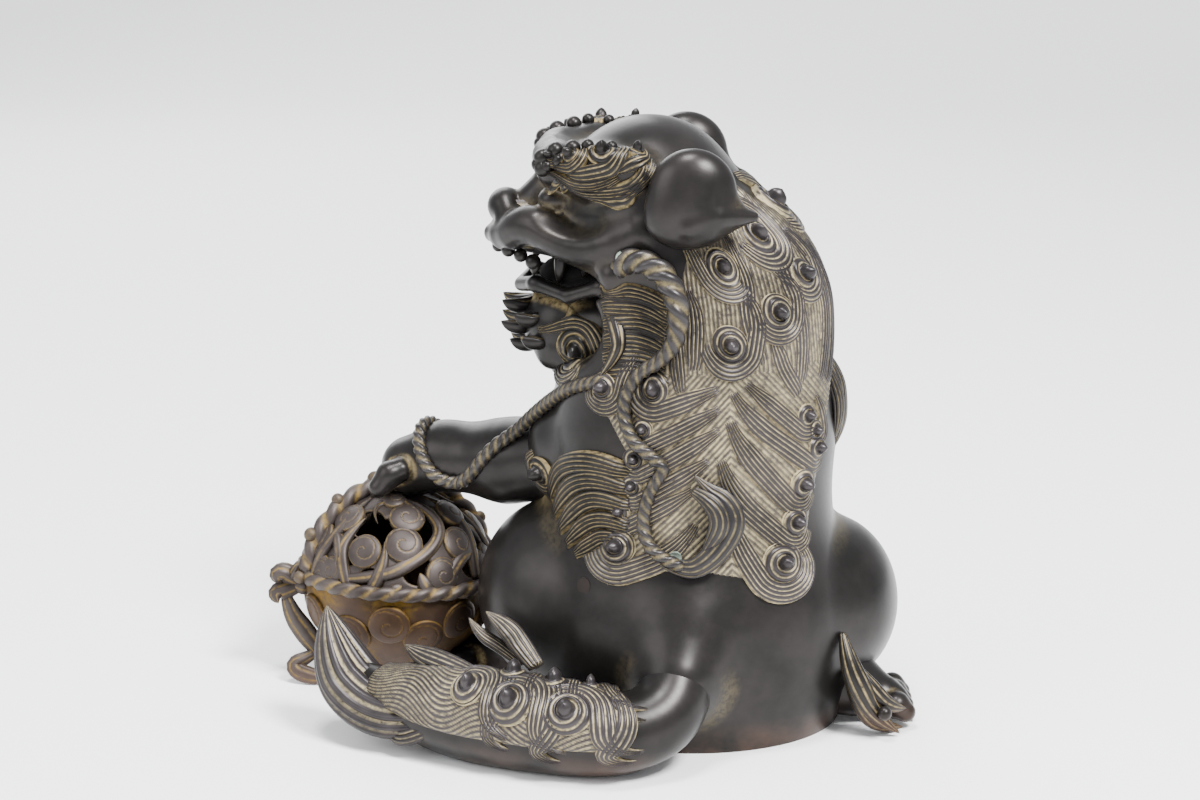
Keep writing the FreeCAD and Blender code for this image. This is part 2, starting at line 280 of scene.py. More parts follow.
def iso_surface(field: Field, low: Point, high: Point, voxel: float) -> tuple[Array, Array]:
    """Closed surface of a field where it is zero, by dual contouring of a cube of samples.

    Args:
        field: distance field.
        low: lowest corner of the cube.
        high: highest corner.
        voxel: distance between samples.

    Returns:
        Points and outward quads.
    """
    axes = [np.arange(a, b, voxel, dtype=np.float32) for a, b in zip(low, high)]
    samples = np.stack(np.meshgrid(*axes, indexing="ij"), -1)
    grid = openvdb.FloatGrid()
    grid.background = 3.0
    grid.copyFromArray(np.clip(field(samples), -3, 3).astype(np.float32))
    points, quads = grid.convertToQuads(0.0)
    return points * voxel + np.asarray(low, float), quads.astype(int)


def recess(field: Field, points: Array, normals: Array, reach: float = 3.0) -> Array:
    """Dust of a surface: how much nearer than reach the field is, at reach out along the normals."""
    out = field((points + normals * reach).astype(np.float32))
    return np.clip(2.2 * (0.88 - out / reach), 0, 1)


def settle(field: Field, points: Array, gap: float = 0.0) -> Array:
    """Points moved along the field's slope until they lie gap outside its surface."""
    p = np.array(points, np.float32)
    for _ in range(8):
        p = p - (0.8 * (field(p) - gap))[..., None] * slopes(field, p)
    return p


def ridges(s: Array, count: int) -> Array:
    """Rounded strands side by side: the size of the sine of count half-waves over s from 0 to 1."""
    return np.abs(np.sin(math.pi * count * s))


# ------------------------------------------------------------------- hosts and what grows on them

class Host:
    """A surface that carries hair: a table of points and normals over two lengths in millimetres.

    The spot start is its first entry and pitch is the step to the next; wrap joins its ends along u.
    """

    def __init__(self, points: Array, normals: Array, start: Spot, pitch: Spot, wrap: bool = False) -> None:
        """Keeps the table; rows run along v and columns along u."""
        self.points = points
        self.normals = normals
        self.start = start
        self.pitch = pitch
        self.wrap = wrap

    def at(self, u: Array, v: Array) -> tuple[Array, Array]:
        """Points and unit normals at (u, v), blended from the four table entries around each."""
        rows, cols = self.points.shape[:2]
        x = (np.asarray(u) - self.start[0]) / self.pitch[0]
        y = np.clip((np.asarray(v) - self.start[1]) / self.pitch[1], 0, rows - 1.001)
        x = np.mod(x, cols) if self.wrap else np.clip(x, 0, cols - 1.001)
        i, j = y.astype(int), x.astype(int)
        f, g = (y - i)[..., None], (x - j)[..., None]
        nxt = (j + 1) % cols
        weights = ((1 - f) * (1 - g), (1 - f) * g, f * (1 - g), f * g)
        spots = ((i, j), (i, nxt), (i + 1, j), (i + 1, nxt))
        point = sum(w * self.points[s] for w, s in zip(weights, spots))
        normal = sum(w * self.normals[s] for w, s in zip(weights, spots))
        return point, unit(normal)


@dataclass
class Lock:
    """A lock of hair lying on a host: its path on the host, and its size in millimetres."""

    path: Sequence[Spot]
    width: float = 9.0
    height: float = 2.2
    strands: int = 5
    lift: float = 0.0
    root: float = 0.45
    tip: float = 0.15

    def grow(self, parts: MeshParts, host: Host) -> None:
        """Lays the lock on the host.

        The section is a low arch of rounded strands with both edges sunk into the host; the width
        swells from the root and narrows to the tip, and the height follows the width.
        """
        line = even_curve(self.path, 1.1)
        t = np.linspace(0, 1, len(line))
        swell = np.clip(t / 0.35, 0, 1)
        swell = self.root + (1 - self.root) * swell * swell * (3 - 2 * swell)
        fade = np.clip((1 - t) / 0.4, 0, 1)
        half = self.width / 2 * swell * (self.tip + (1 - self.tip) * np.sqrt(fade * (2 - fade)))
        way = unit(np.gradient(line, axis=0))
        s = np.linspace(-1, 1, self.strands * 5 + 1)
        u = line[:, :1] - way[:, 1:] * half[:, None] * s
        v = line[:, 1:] + way[:, :1] * half[:, None] * s
        ridge = ridges((s + 1) / 2, self.strands)[None]
        arch = (1 - np.abs(s) ** 3)[None]
        body = self.height * np.clip(half / half.max(), 0.25, 1)[:, None]
        ends = np.clip(np.minimum(t / 0.08, (1 - t) / 0.16), 0, 1)[:, None]
        rise = (self.lift + body * (0.35 + 0.65 * arch) - 0.75 * (1 - ridge)) * ends - 0.6 * (1 - ends)
        rise[:, [0, -1]] = -0.5
        point, normal = host.at(u, v)
        dust = np.clip(1.0 - 1.7 * ridge, 0, 1) * np.ones_like(rise)
        dust[:, [0, 1, -2, -1]] = 0.9
        parts.add_grid(point + normal * rise[..., None], dust, out=normal)


@dataclass
class Curl:
    """A snail curl on a host: its middle and outer radius, with a ball at its top."""

    middle: Spot
    radius: float
    turn: int = 1
    lift: float = 1.2

    def grow(self, parts: MeshParts, host: Host) -> None:
        """Raises the curl on the host.

        The height over the radius is a rounded cone with a ball on it; the sine of the radius less the
        angle winds one strand round it.
        """
        tall = 0.66 * self.radius
        core = min(0.42, 2.6 / self.radius)
        winds = max(2.5, self.radius / 2.2)
        r = np.linspace(0, 1, 42)[:, None]
        phi = np.linspace(0, 2 * math.pi, 60, endpoint=False)[None]
        wound = np.abs(np.sin(math.pi * winds * r - self.turn * phi / 2))
        cone = tall * (0.24 + 0.76 * np.clip(1 - r / 0.86, 0, 1) ** 0.85)
        knob = 0.85 * core * self.radius * np.sqrt(np.clip(1 - (r / core) ** 2, 0, 1))
        cut = 0.11 * self.radius * (1 - wound) * np.clip((r - core) / 0.05, 0, 1)
        moat = 0.12 * self.radius * np.exp(-(((r - core - 0.06) / 0.06) ** 2))
        rise = self.lift + cone + knob - cut - moat
        rise = np.where(r > 0.96, -0.6, rise)
        u = self.middle[0] + self.radius * r * np.cos(phi)
        v = self.middle[1] + self.radius * r * np.sin(phi)
        point, normal = host.at(u, v)
        dust = np.clip(1.1 - 1.7 * wound, 0, 1) * (r > core + 0.02)
        parts.add_grid(point + normal * rise[..., None], np.where(r > 0.95, 0.9, dust), True, normal)


def wound_path(start: Sequence[Spot], middle: Spot, radius: float, turn: int, sweep: float) -> list[Spot]:
    """A path that runs on from its start and then winds round a circle.

    Args:
        start: first points; the last one is where the straight part begins.
        middle: middle of the circle.
        radius: radius of the circle.
        turn: 1 to wind anticlockwise, -1 clockwise.
        sweep: how far it winds, in degrees.

    Returns:
        The points, with the straight part touching the circle.
    """
    across, up = start[-1][0] - middle[0], start[-1][1] - middle[1]
    far = max(math.hypot(across, up), radius)
    first = math.atan2(up, across) + turn * math.acos(radius / far)
    angles = first + turn * np.radians(np.arange(0, sweep + 1, 20))
    return [*start, *[(middle[0] + radius * math.cos(t), middle[1] + radius * math.sin(t)) for t in angles]]


@dataclass
class Tress:
    """A lock that runs to a curl and winds round it, with the curl in its crook."""

    start: Sequence[Spot]
    middle: Spot
    radius: float
    turn: int
    width: float = 8.0
    sweep: float = 150.0
    rise: float = 2.0

    def grow(self, parts: MeshParts, host: Host) -> None:
        """Lays the lock and then the curl."""
        path = wound_path(self.start, self.middle, self.radius + 0.28 * self.width, self.turn, self.sweep)
        Lock(path, self.width, self.rise, max(3, round(self.width / 1.7)), 0.9).grow(parts, host)
        Curl(self.middle, self.radius, self.turn).grow(parts, host)


@dataclass
class Flame:
    """A free tuft: a grooved, flattened bar along a path in space, closed to a point at both ends."""

    path: Sequence[Point]
    width: float = 8.0
    depth: float = 4.0
    strands: int = 7
    up: Point = (0, 1, 0)
    peak: float = 0.4
    stub: float = 0.0

    def grow(self, parts: MeshParts) -> None:
        """Carries an ellipse with rounded strands along the path; its underside is smooth.

        The size over the length rises as a sine to its peak and falls away to the tip; stub keeps
        that share of the size at the root.
        """
        line = even_curve(self.path, 1.1)
        _, side, lift = frames_along(line, np.asarray(self.up, float))
        t = np.linspace(0, 1, len(line))[:, None]
        grow = np.sin(np.clip(t / self.peak, 0, 1) * math.pi / 2)
        fall = np.cos(np.clip((t - self.peak) / (1 - self.peak), 0, 1) * math.pi / 2) ** 0.8
        size = np.maximum(np.where(t < self.peak, self.stub + (1 - self.stub) * grow, fall), 0.02)
        phi = np.linspace(0, 2 * math.pi, self.strands * 10, endpoint=False)[None]
        ridge = ridges(phi / (2 * math.pi), self.strands * 2)
        ridge = 1 - (1 - ridge) * np.clip(1.8 * np.sin(phi) + 0.7, 0, 1)
        bulge = 1 - 0.16 * (1 - ridge)
        across = (self.width / 2 * size * np.cos(phi) * bulge)[..., None]
        out = (self.depth / 2 * size * np.sin(phi) * bulge)[..., None]
        point = line[:, None] + side[:, None] * across + lift[:, None] * out
        point[0], point[-1] = line[0], line[-1]
        parts.add_grid(point, np.clip(0.9 - 1.7 * ridge, 0, 1) * np.ones_like(size), wrap=True)


@dataclass
class Rope:
    """A twisted cord: lobes that wind round a path in space."""

    path: Sequence[Point]
    radius: float = 2.5
    lobes: int = 3
    lay: float = 15.0
    up: Point = (0, 0, 1)

    def grow(self, parts: MeshParts) -> None:
        """Carries a section of round lobes along the path, turned once in each lay's length.

        A fourth number in the path's points is the radius there, and the lay grows with it.
        """
        line = even_curve(np.asarray(self.path), 0.7)
        radius = line[:, 3:4] if line.shape[1] == 4 else np.full((len(line), 1), self.radius)
        line = line[:, :3]
        _, side, lift = frames_along(line, np.asarray(self.up, float))
        steps = np.concatenate([[0], np.linalg.norm(np.diff(line, axis=0), axis=1)])[:, None]
        along = np.cumsum(steps, axis=0)
        phi = np.linspace(0, 2 * math.pi, 36, endpoint=False)[None]
        wind = phi - 2 * math.pi * np.cumsum(steps * self.radius / radius, axis=0) / self.lay
        lobe = np.abs(np.cos(wind * self.lobes / 2))
        ends = np.sqrt(np.clip(np.minimum(along, along[-1] - along) / radius, 0, 1))
        size = radius * (0.70 + 0.34 * lobe) * ends
        out = side[:, None] * np.cos(phi)[..., None] + lift[:, None] * np.sin(phi)[..., None]
        parts.add_grid(line[:, None] + out * size[..., None], np.clip(1.0 - 1.5 * lobe, 0, 1), wrap=True)


def add_ball(parts: MeshParts, centre: Point, radius: float, dust: float = 0.0,
             half: Point = (1, 1, 1)) -> None:
    """Adds a small sphere, or an ellipsoid with half-sizes in radii, from rings of latitude."""
    lat = np.linspace(-math.pi / 2, math.pi / 2, 13)[:, None]
    lon = np.linspace(0, 2 * math.pi, 20, endpoint=False)[None]
    point = np.asarray(centre) + radius * np.asarray(half) * sphere(lon, lat)
    parts.add_grid(point, np.full(point.shape[:2], dust), wrap=True)


# ------------------------------------------------------------------------------------- finishes

def linear(hex_colour: str) -> tuple[float, float, float, float]:
    """An sRGB hex colour as linear red, green, blue and alpha."""
    parts = [int(hex_colour[i:i + 2], 16) / 255 for i in (1, 3, 5)]
    return (*[c / 12.92 if c <= 0.04045 else ((c + 0.055) / 1.055) ** 2.4 for c in parts], 1.0)


def add_node(tree: bpy.types.NodeTree, kind: str, links: dict | None = None,
             **settings: object) -> bpy.types.Node:
    """Adds one shader node.

    Args:
        tree: the material's node tree.
        kind: node type.
        links: input name or number to an output socket or a plain value.
        settings: properties of the node.

    Returns:
        The node.
    """
    node = tree.nodes.new(kind)
    for name, value in settings.items():
        setattr(node, name, value)
    for name, value in (links or {}).items():
        if isinstance(value, bpy.types.NodeSocket):
            tree.links.new(value, node.inputs[name])
        else:
            node.inputs[name].default_value = value
    return node


@dataclass(frozen=True)
class CastBronze:
    """Statuary bronze, cast, chased and patinated with sulphur, then waxed.

    The patina gives a satin brown-grey that goes purple on the chased ridges; ochre dust stays in the
    recesses, and handling wears the lowest edges to a reddish brown.
    """

    name: str
    ground: str = "#181716"
    ridge: str = "#272423"
    dust: str = "#a8966c"
    worn: str = "#5c4030"
    dust_amount: float = 1.0
    roughness: float = 0.27
    metallic: float = 0.55
    specular: float = 0.28
    dust_roughness: float = 0.85
    pit_mm: float = 0.9
    pit_gap_mm: float = 9.0
    bump_mm: float = 0.25
    grain_mm: float = 2.2
    cloud_mm: float = 26.0
    foot_height: float = 14.0

    def build(self) -> bpy.types.Material:
        """Makes the material: clouded ground, ridges, dust by attribute, worn foot, pits and bump."""
        material = bpy.data.materials.new(self.name)
        material.use_nodes = True
        tree = material.node_tree
        shader = tree.nodes["Principled BSDF"]
        place = add_node(tree, "ShaderNodeTexCoord").outputs["Object"]
        recess = add_node(tree, "ShaderNodeAttribute", attribute_name="dust").outputs["Fac"]
        clouds = add_node(tree, "ShaderNodeTexNoise", {"Vector": place, "Scale": 1 / (self.cloud_mm * MM),
                                                       "Detail": 4.0, "Roughness": 0.6}).outputs["Fac"]
        grain = add_node(tree, "ShaderNodeTexNoise", {"Vector": place, "Scale": 1 / (self.grain_mm * MM),
                                                      "Detail": 5.0, "Roughness": 0.65}).outputs["Fac"]
        tone = add_node(tree, "ShaderNodeMapRange", {"Value": clouds, "From Min": 0.35,
                                                     "From Max": 0.68}).outputs[0]
        ground = add_node(tree, "ShaderNodeMix", {"Factor": tone, 6: linear(self.ground),
                                                  7: linear(self.ridge)}, data_type="RGBA").outputs[2]
        speck = add_node(tree, "ShaderNodeMapRange", {"Value": grain, "From Min": 0.30,
                                                      "From Max": 0.62}).outputs[0]
        patch = add_node(tree, "ShaderNodeMapRange", {"Value": clouds, "From Min": 0.3, "From Max": 0.6,
                                                      "To Min": 0.55}).outputs[0]
        kept = add_node(tree, "ShaderNodeMath", {0: speck, 1: patch}, operation="MULTIPLY").outputs[0]
        hold = add_node(tree, "ShaderNodeMath", {0: recess, 1: kept}, operation="MULTIPLY").outputs[0]
        amount = add_node(tree, "ShaderNodeMath", {0: hold, 1: self.dust_amount}, operation="MULTIPLY",
                          use_clamp=True).outputs[0]
        dusty = add_node(tree, "ShaderNodeMix", {"Factor": amount, 6: ground, 7: linear(self.dust)},
                         data_type="RGBA").outputs[2]
        height = add_node(tree, "ShaderNodeSeparateXYZ", {0: place}).outputs["Z"]
        low = add_node(tree, "ShaderNodeMapRange", {"Value": height, "From Min": self.foot_height * MM,
                                                    "From Max": 0.0, "To Max": 0.55}).outputs[0]
        rub = add_node(tree, "ShaderNodeMath", {0: low, 1: tone}, operation="MULTIPLY").outputs[0]
        colour = add_node(tree, "ShaderNodeMix", {"Factor": rub, 6: dusty, 7: linear(self.worn)},
                          data_type="RGBA").outputs[2]
        tree.links.new(colour, shader.inputs["Base Color"])
        shader.inputs["Metallic"].default_value = self.metallic
        shader.inputs["Specular IOR Level"].default_value = self.specular
        rough = add_node(tree, "ShaderNodeMapRange", {"Value": amount, "To Min": self.roughness,
                                                      "To Max": self.dust_roughness}).outputs[0]
        uneven = add_node(tree, "ShaderNodeMath", {0: grain, 1: 0.12, 2: rough},
                          operation="MULTIPLY_ADD", use_clamp=True).outputs[0]
        tree.links.new(uneven, shader.inputs["Roughness"])
        pits = add_node(tree, "ShaderNodeTexVoronoi",
                        {"Vector": place, "Scale": 1 / (self.pit_gap_mm * MM)}).outputs["Distance"]
        pit = add_node(tree, "ShaderNodeMapRange",
                       {"Value": pits, "From Max": self.pit_mm / (2 * self.pit_gap_mm)}).outputs[0]
        relief = add_node(tree, "ShaderNodeMath", {0: grain, 1: 0.35, 2: pit},
                          operation="MULTIPLY_ADD").outputs[0]
        bump = add_node(tree, "ShaderNodeBump", {"Height": relief, "Strength": 0.25,
                                                 "Distance": self.bump_mm * MM})
        tree.links.new(bump.outputs[0], shader.inputs["Normal"])
        return material


# ------------------------------------------------------------------------------ the cast figure

class Finish(Enum):
    """The finishes of the castings, by the part that they suit."""

    BODY = CastBronze("cast_bronze_dark_patina")
    MANE = CastBronze("cast_bronze_chased_hair", ground="#262324", ridge="#3d393a", dust="#b9ab85",
                      dust_amount=1.2)
    BALL = CastBronze("cast_bronze_brown_patina", ground="#312b29", ridge="#4b4441", dust="#8c7440",
                      worn="#5a3a26", roughness=0.42, dust_amount=1.2)
    BOWL = CastBronze("cast_bronze_red_brown_patina", ground="#31241c", ridge="#4a3829", dust="#8a6b25",
                      worn="#5a3a26", roughness=0.42)
    LEASH = CastBronze("cast_bronze_leash", ground="#262425", ridge="#3a3737", dust="#8f8159")
    # painted shade: near-black, matt and not metallic, for the mouth where the bronze is only in shadow
    HOLLOW = CastBronze("cast_bronze_unlit_inside", ground="#0c0a09", ridge="#141110", dust="#2a2016",
                        metallic=0.0, roughness=0.9)
    PLATE = CastBronze("filed_bronze_plate", ground="#3a322b", ridge="#5b4c3e", roughness=0.6)
    PLUG = CastBronze("filed_copper_plug", ground="#1f1a18", ridge="#2c2421", roughness=0.45)
    SOLDER = CastBronze("tin_solder_verdigris", ground="#66726a", ridge="#9aa698", dust="#8aa08e",
                        roughness=0.55, metallic=0.3)

    def material(self) -> bpy.types.Material:
        """The material, made once and then shared."""
        return bpy.data.materials.get(self.value.name) or self.value.build()

    def slot(self) -> str:
        """The material slot of the pieces that have this finish."""
        return "ball_bronze" if self in (Finish.BALL, Finish.BOWL) else "body_bronze"


def dress(parts: MeshParts, name: str, finish: Finish, *nodes: str) -> bpy.types.Object:
    """Makes one finished piece, hides the CAD nodes it stands for and lets it ride on the root."""
    piece = parts.build(name)
    piece.data.materials.append(finish.material())
    if nodes:
        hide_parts(*nodes)
    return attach(piece, ROOT)


def cast_piece(name: str, field: Field, low: Point, high: Point, voxel: float, *nodes: str,
               finish: Finish = Finish.BODY) -> bpy.types.Object:
    """Makes one casting from a field.

    Args:
        name: the piece's name.
        field: distance field of the casting.
        low: lowest corner of the room it takes.
        high: highest corner.
        voxel: distance between samples.
        nodes: CAD nodes it stands for.
        finish: its finish.

    Returns:
        The finished piece.
    """
    points, quads = iso_surface(field, low, high, voxel)
    parts = MeshParts()
    parts.add(points, quads, recess(field, points, slopes(field, points.astype(np.float32))))
    return dress(parts, name, finish, *nodes)


def tufts_piece(name: str, finish: Finish, tufts: Sequence[tuple[Sequence[Point], float]], depth: float,
                strands: int, up: Point, peak: float, stub: float, *nodes: str) -> bpy.types.Object:
    """Makes one piece of free tufts, each a path and a width; the rest is as in Flame and dress."""
    parts = MeshParts()
    for path, width in tufts:
        Flame(path, width, depth, strands, up, peak, stub).grow(parts)
    return dress(parts, name, finish, *nodes)


def skin_host(field: Field, middle: Point, reach: float = 16.0, up: Point = (0, 0, 1)) -> Host:
    """A patch of a field's surface to carry hair.

    Args:
        field: distance field of the casting.
        middle: a point near the patch's middle.
        reach: half the patch's width.
        up: direction that v follows; u follows up cross the normal.

    Returns:
        The patch, with (0, 0) at its middle.
    """
    centre = settle(field, np.array([middle]))
    normal = slopes(field, centre, 2.0)[0]
    across = unit(np.cross(up, normal))
    lift = np.cross(normal, across)
    steps = np.arange(-reach, reach + 1, 2.0)
    flat = centre[0] + steps[None, :, None] * across + steps[:, None, None] * lift
    points = settle(field, flat)
    return Host(points, slopes(field, points, 0.8), (-reach, -reach), (2.0, 2.0))


@dataclass
class Figure:
    """The smooth masses of the body and the head, as one field, with the host that carries the mane."""

    mane_radius: float = 52.0
    seam: float = 151.0

    def body(self, p: Array) -> Array:
        """Haunches, torso, neck, back of the head, knees, shoulders and tail root, down to the ground."""
        field = ellipsoid(p, (0, 3, 35), (69, 58, 76))
        field = blend(field, ellipsoid(p, (0, 0, 115), (58, 50, 70)), 20)
        field = blend(field, ellipsoid(p, (-1, 0, 166), (54, 46, 56)), 15)
        field = blend(field, ellipsoid(p, (12, 0, 198), (35, 40, 48)), 10)
        field = blend(field, ellipsoid(p, (22, -1, 213), (31, 33, 34)), 8)
        field = blend(field, ellipsoid(p, (52, -7, 48), (36, 38, 40)), 10)
        field = blend(field, ellipsoid(p, (-55, -8, 44), (31, 36, 36)), 9)
        field = blend(field, ellipsoid(p, (42, -8, 111), (25, 26, 26)), 5)
        field = blend(field, ellipsoid(p, (-36, -20, 116), (24, 26, 28)), 8)
        field = blend(field, ellipsoid(p, (0, -30, 72), (38, 27, 36)), 12)
        root = chain(p, [((0, 30, 62), 18), ((3, 44, 50), 16.5), ((7, 60, 34), 15.5)], 4)
        return np.maximum(blend(field, root, 15), -p[..., 2])

    def head(self, p: Array) -> Array:
        """Skull, cheeks, muzzle, lips, nose, brow and eyes; the two sides mirror each other."""
        q = both_sides(p, HEAD_Y)
        field = ellipsoid(p, (20, -3, 204), (42, 32, 33))
        field = blend(field, ellipsoid(p, (60, -4, 200), (18, 13, 9)), 7)
        lips = weighted_curve(((80, -4, 200, 4), (74, 6, 200, 6), (67, 14, 208, 7), (58, 20, 206, 7),
                               (48, 25, 200, 6.5), (36, 31, 201, 6), (24, 35, 208, 4)), 13)
        field = blend(field, chain(q, [(tuple(row[:3]), row[3]) for row in lips], 3), 2.5)
        field = blend(field, chain(q, [((36, 30, 197), 3), ((33, 33, 191), 4)], 2), 3)
        bridge = chain(q, [((71, -4, 210), 5.5), ((63, -4, 212.5), 7.5), ((56, -4, 221), 8)], 4)
        field = blend(field, bridge, 5)
        field = blend(field, ellipsoid(q, (75, -4, 211), (7.5, 9, 7.5)), 1.5)
        field = blend(field, ellipsoid(q, (73, 4, 208), (6, 4.5, 5)), 3)
        field = carve(field, ellipsoid(q, (73, 8.5, 206.5), (2.6, 1.8, 1.8)), 1)
        field = carve(field, ellipsoid(q, (48, 30, 213), (15, 9, 6)), 5)
        brow = [((56, -4, 231), 8.5), ((53, 12, 230), 8.5), ((41, 23, 230), 8.5), ((25, 31, 233), 6)]
        field = blend(field, chain(q, brow, 6), 2)
        return blend(field, ellipsoid(q, (56, 13, 217), (6, 6, 5)), 2.0)

    def whole(self, p: Array) -> Array:
        """Body and head with the mouth and the hollow behind the jaw carved out."""
        field = blend(self.body(p), self.head(p), 8)
        field = carve(field, ellipsoid(p, (64, -4, 184), (36, 60, 8.5)), 1.5)
        field = carve(field, ellipsoid(p, (70, -4, 168), (40, 62, 23)), 4)
        return carve(field, ellipsoid(p, (22, 55, 174), (17, 19, 26)), 6)

    def centre(self, z: Array) -> Array:
        """Across place of the upright axis, which leans forward under the head."""
        return np.interp(z, [0, 160, 180, 200, 215, 228, 248], [0, 0, 3, 9, 14.5, 17.5, 18])

    def cast(self, turn: Array, z: Array) -> Array:
        """Points of the surface met by level rays that come in towards the axis.

        Args:
            turn: direction of each ray in radians, 0 at the back and growing to the figure's right.
            z: height of each ray.

        Returns:
            Points where the rays meet the surface, found by stepping in by the field's value.
        """
        way = np.stack([-np.sin(turn), np.cos(turn), np.zeros_like(turn)], -1)
        axis = np.stack([self.centre(z), np.zeros_like(z), z], -1)
        reach = np.full(turn.shape, 105.0)
        for _ in range(26):
            gap = self.whole((axis + way * reach[..., None]).astype(np.float32))
            reach = np.maximum(reach - 0.9 * gap, 1.0)
        return axis + way * reach[..., None]

    def host(self) -> Host:
        """The surface as a table over arc length round the axis and height."""
        turn = np.radians(np.arange(-180, 180, 1.5))
        heights = np.arange(56, 236, 1.5)
        grid = np.meshgrid(turn, heights)
        points = self.cast(grid[0].astype(np.float32), grid[1].astype(np.float32))
        normals = slopes(self.whole, points.astype(np.float32), 1.0)
        first = (-math.pi * self.mane_radius, 56.0)
        pitch = (math.radians(1.5) * self.mane_radius, 1.5)
        return Host(points, normals, first, pitch, wrap=True)

    def make(self) -> None:
        """Body below the seam from level rays, and head above it from the whole field."""
        parts = MeshParts()
        turn = np.linspace(-math.pi, math.pi, 400, endpoint=False)
        heights = np.concatenate([[0.0, 0.4], np.arange(1.2, self.seam + 3, 1.15)])
        grid = np.meshgrid(turn, heights)
        points = self.cast(grid[0].astype(np.float32), grid[1].astype(np.float32))
        inward = points[:1] * np.array([0.93, 0.93, 1.0])
        points = np.concatenate([inward + np.array([0, 0, 2.9]), inward, points])
        normals = slopes(self.whole, points.astype(np.float32))
        parts.add_grid(points, recess(self.whole, points, normals, 5.0), True, normals)
        dress(parts, "cast_body", Finish.BODY, "body_shell")
        head = MeshParts()
        low, high = (-60, -58, self.seam - 2), (96, 58, 254)
        points, quads = iso_surface(self.whole, low, high, 0.8)
        above = points[quads].mean(1)[:, 2] > self.seam
        near = np.abs(self.whole(points.astype(np.float32))) < 0.6
        keep = quads[above & near[quads].all(1)]
        used, faces = np.unique(keep, return_inverse=True)
        normals = slopes(self.whole, points[used].astype(np.float32))
        head.add(points[used], faces.reshape(-1, 4), 0.16 * recess(self.whole, points[used], normals, 4.0))
        dress(head, "cast_head", Finish.BODY, "head_shell")


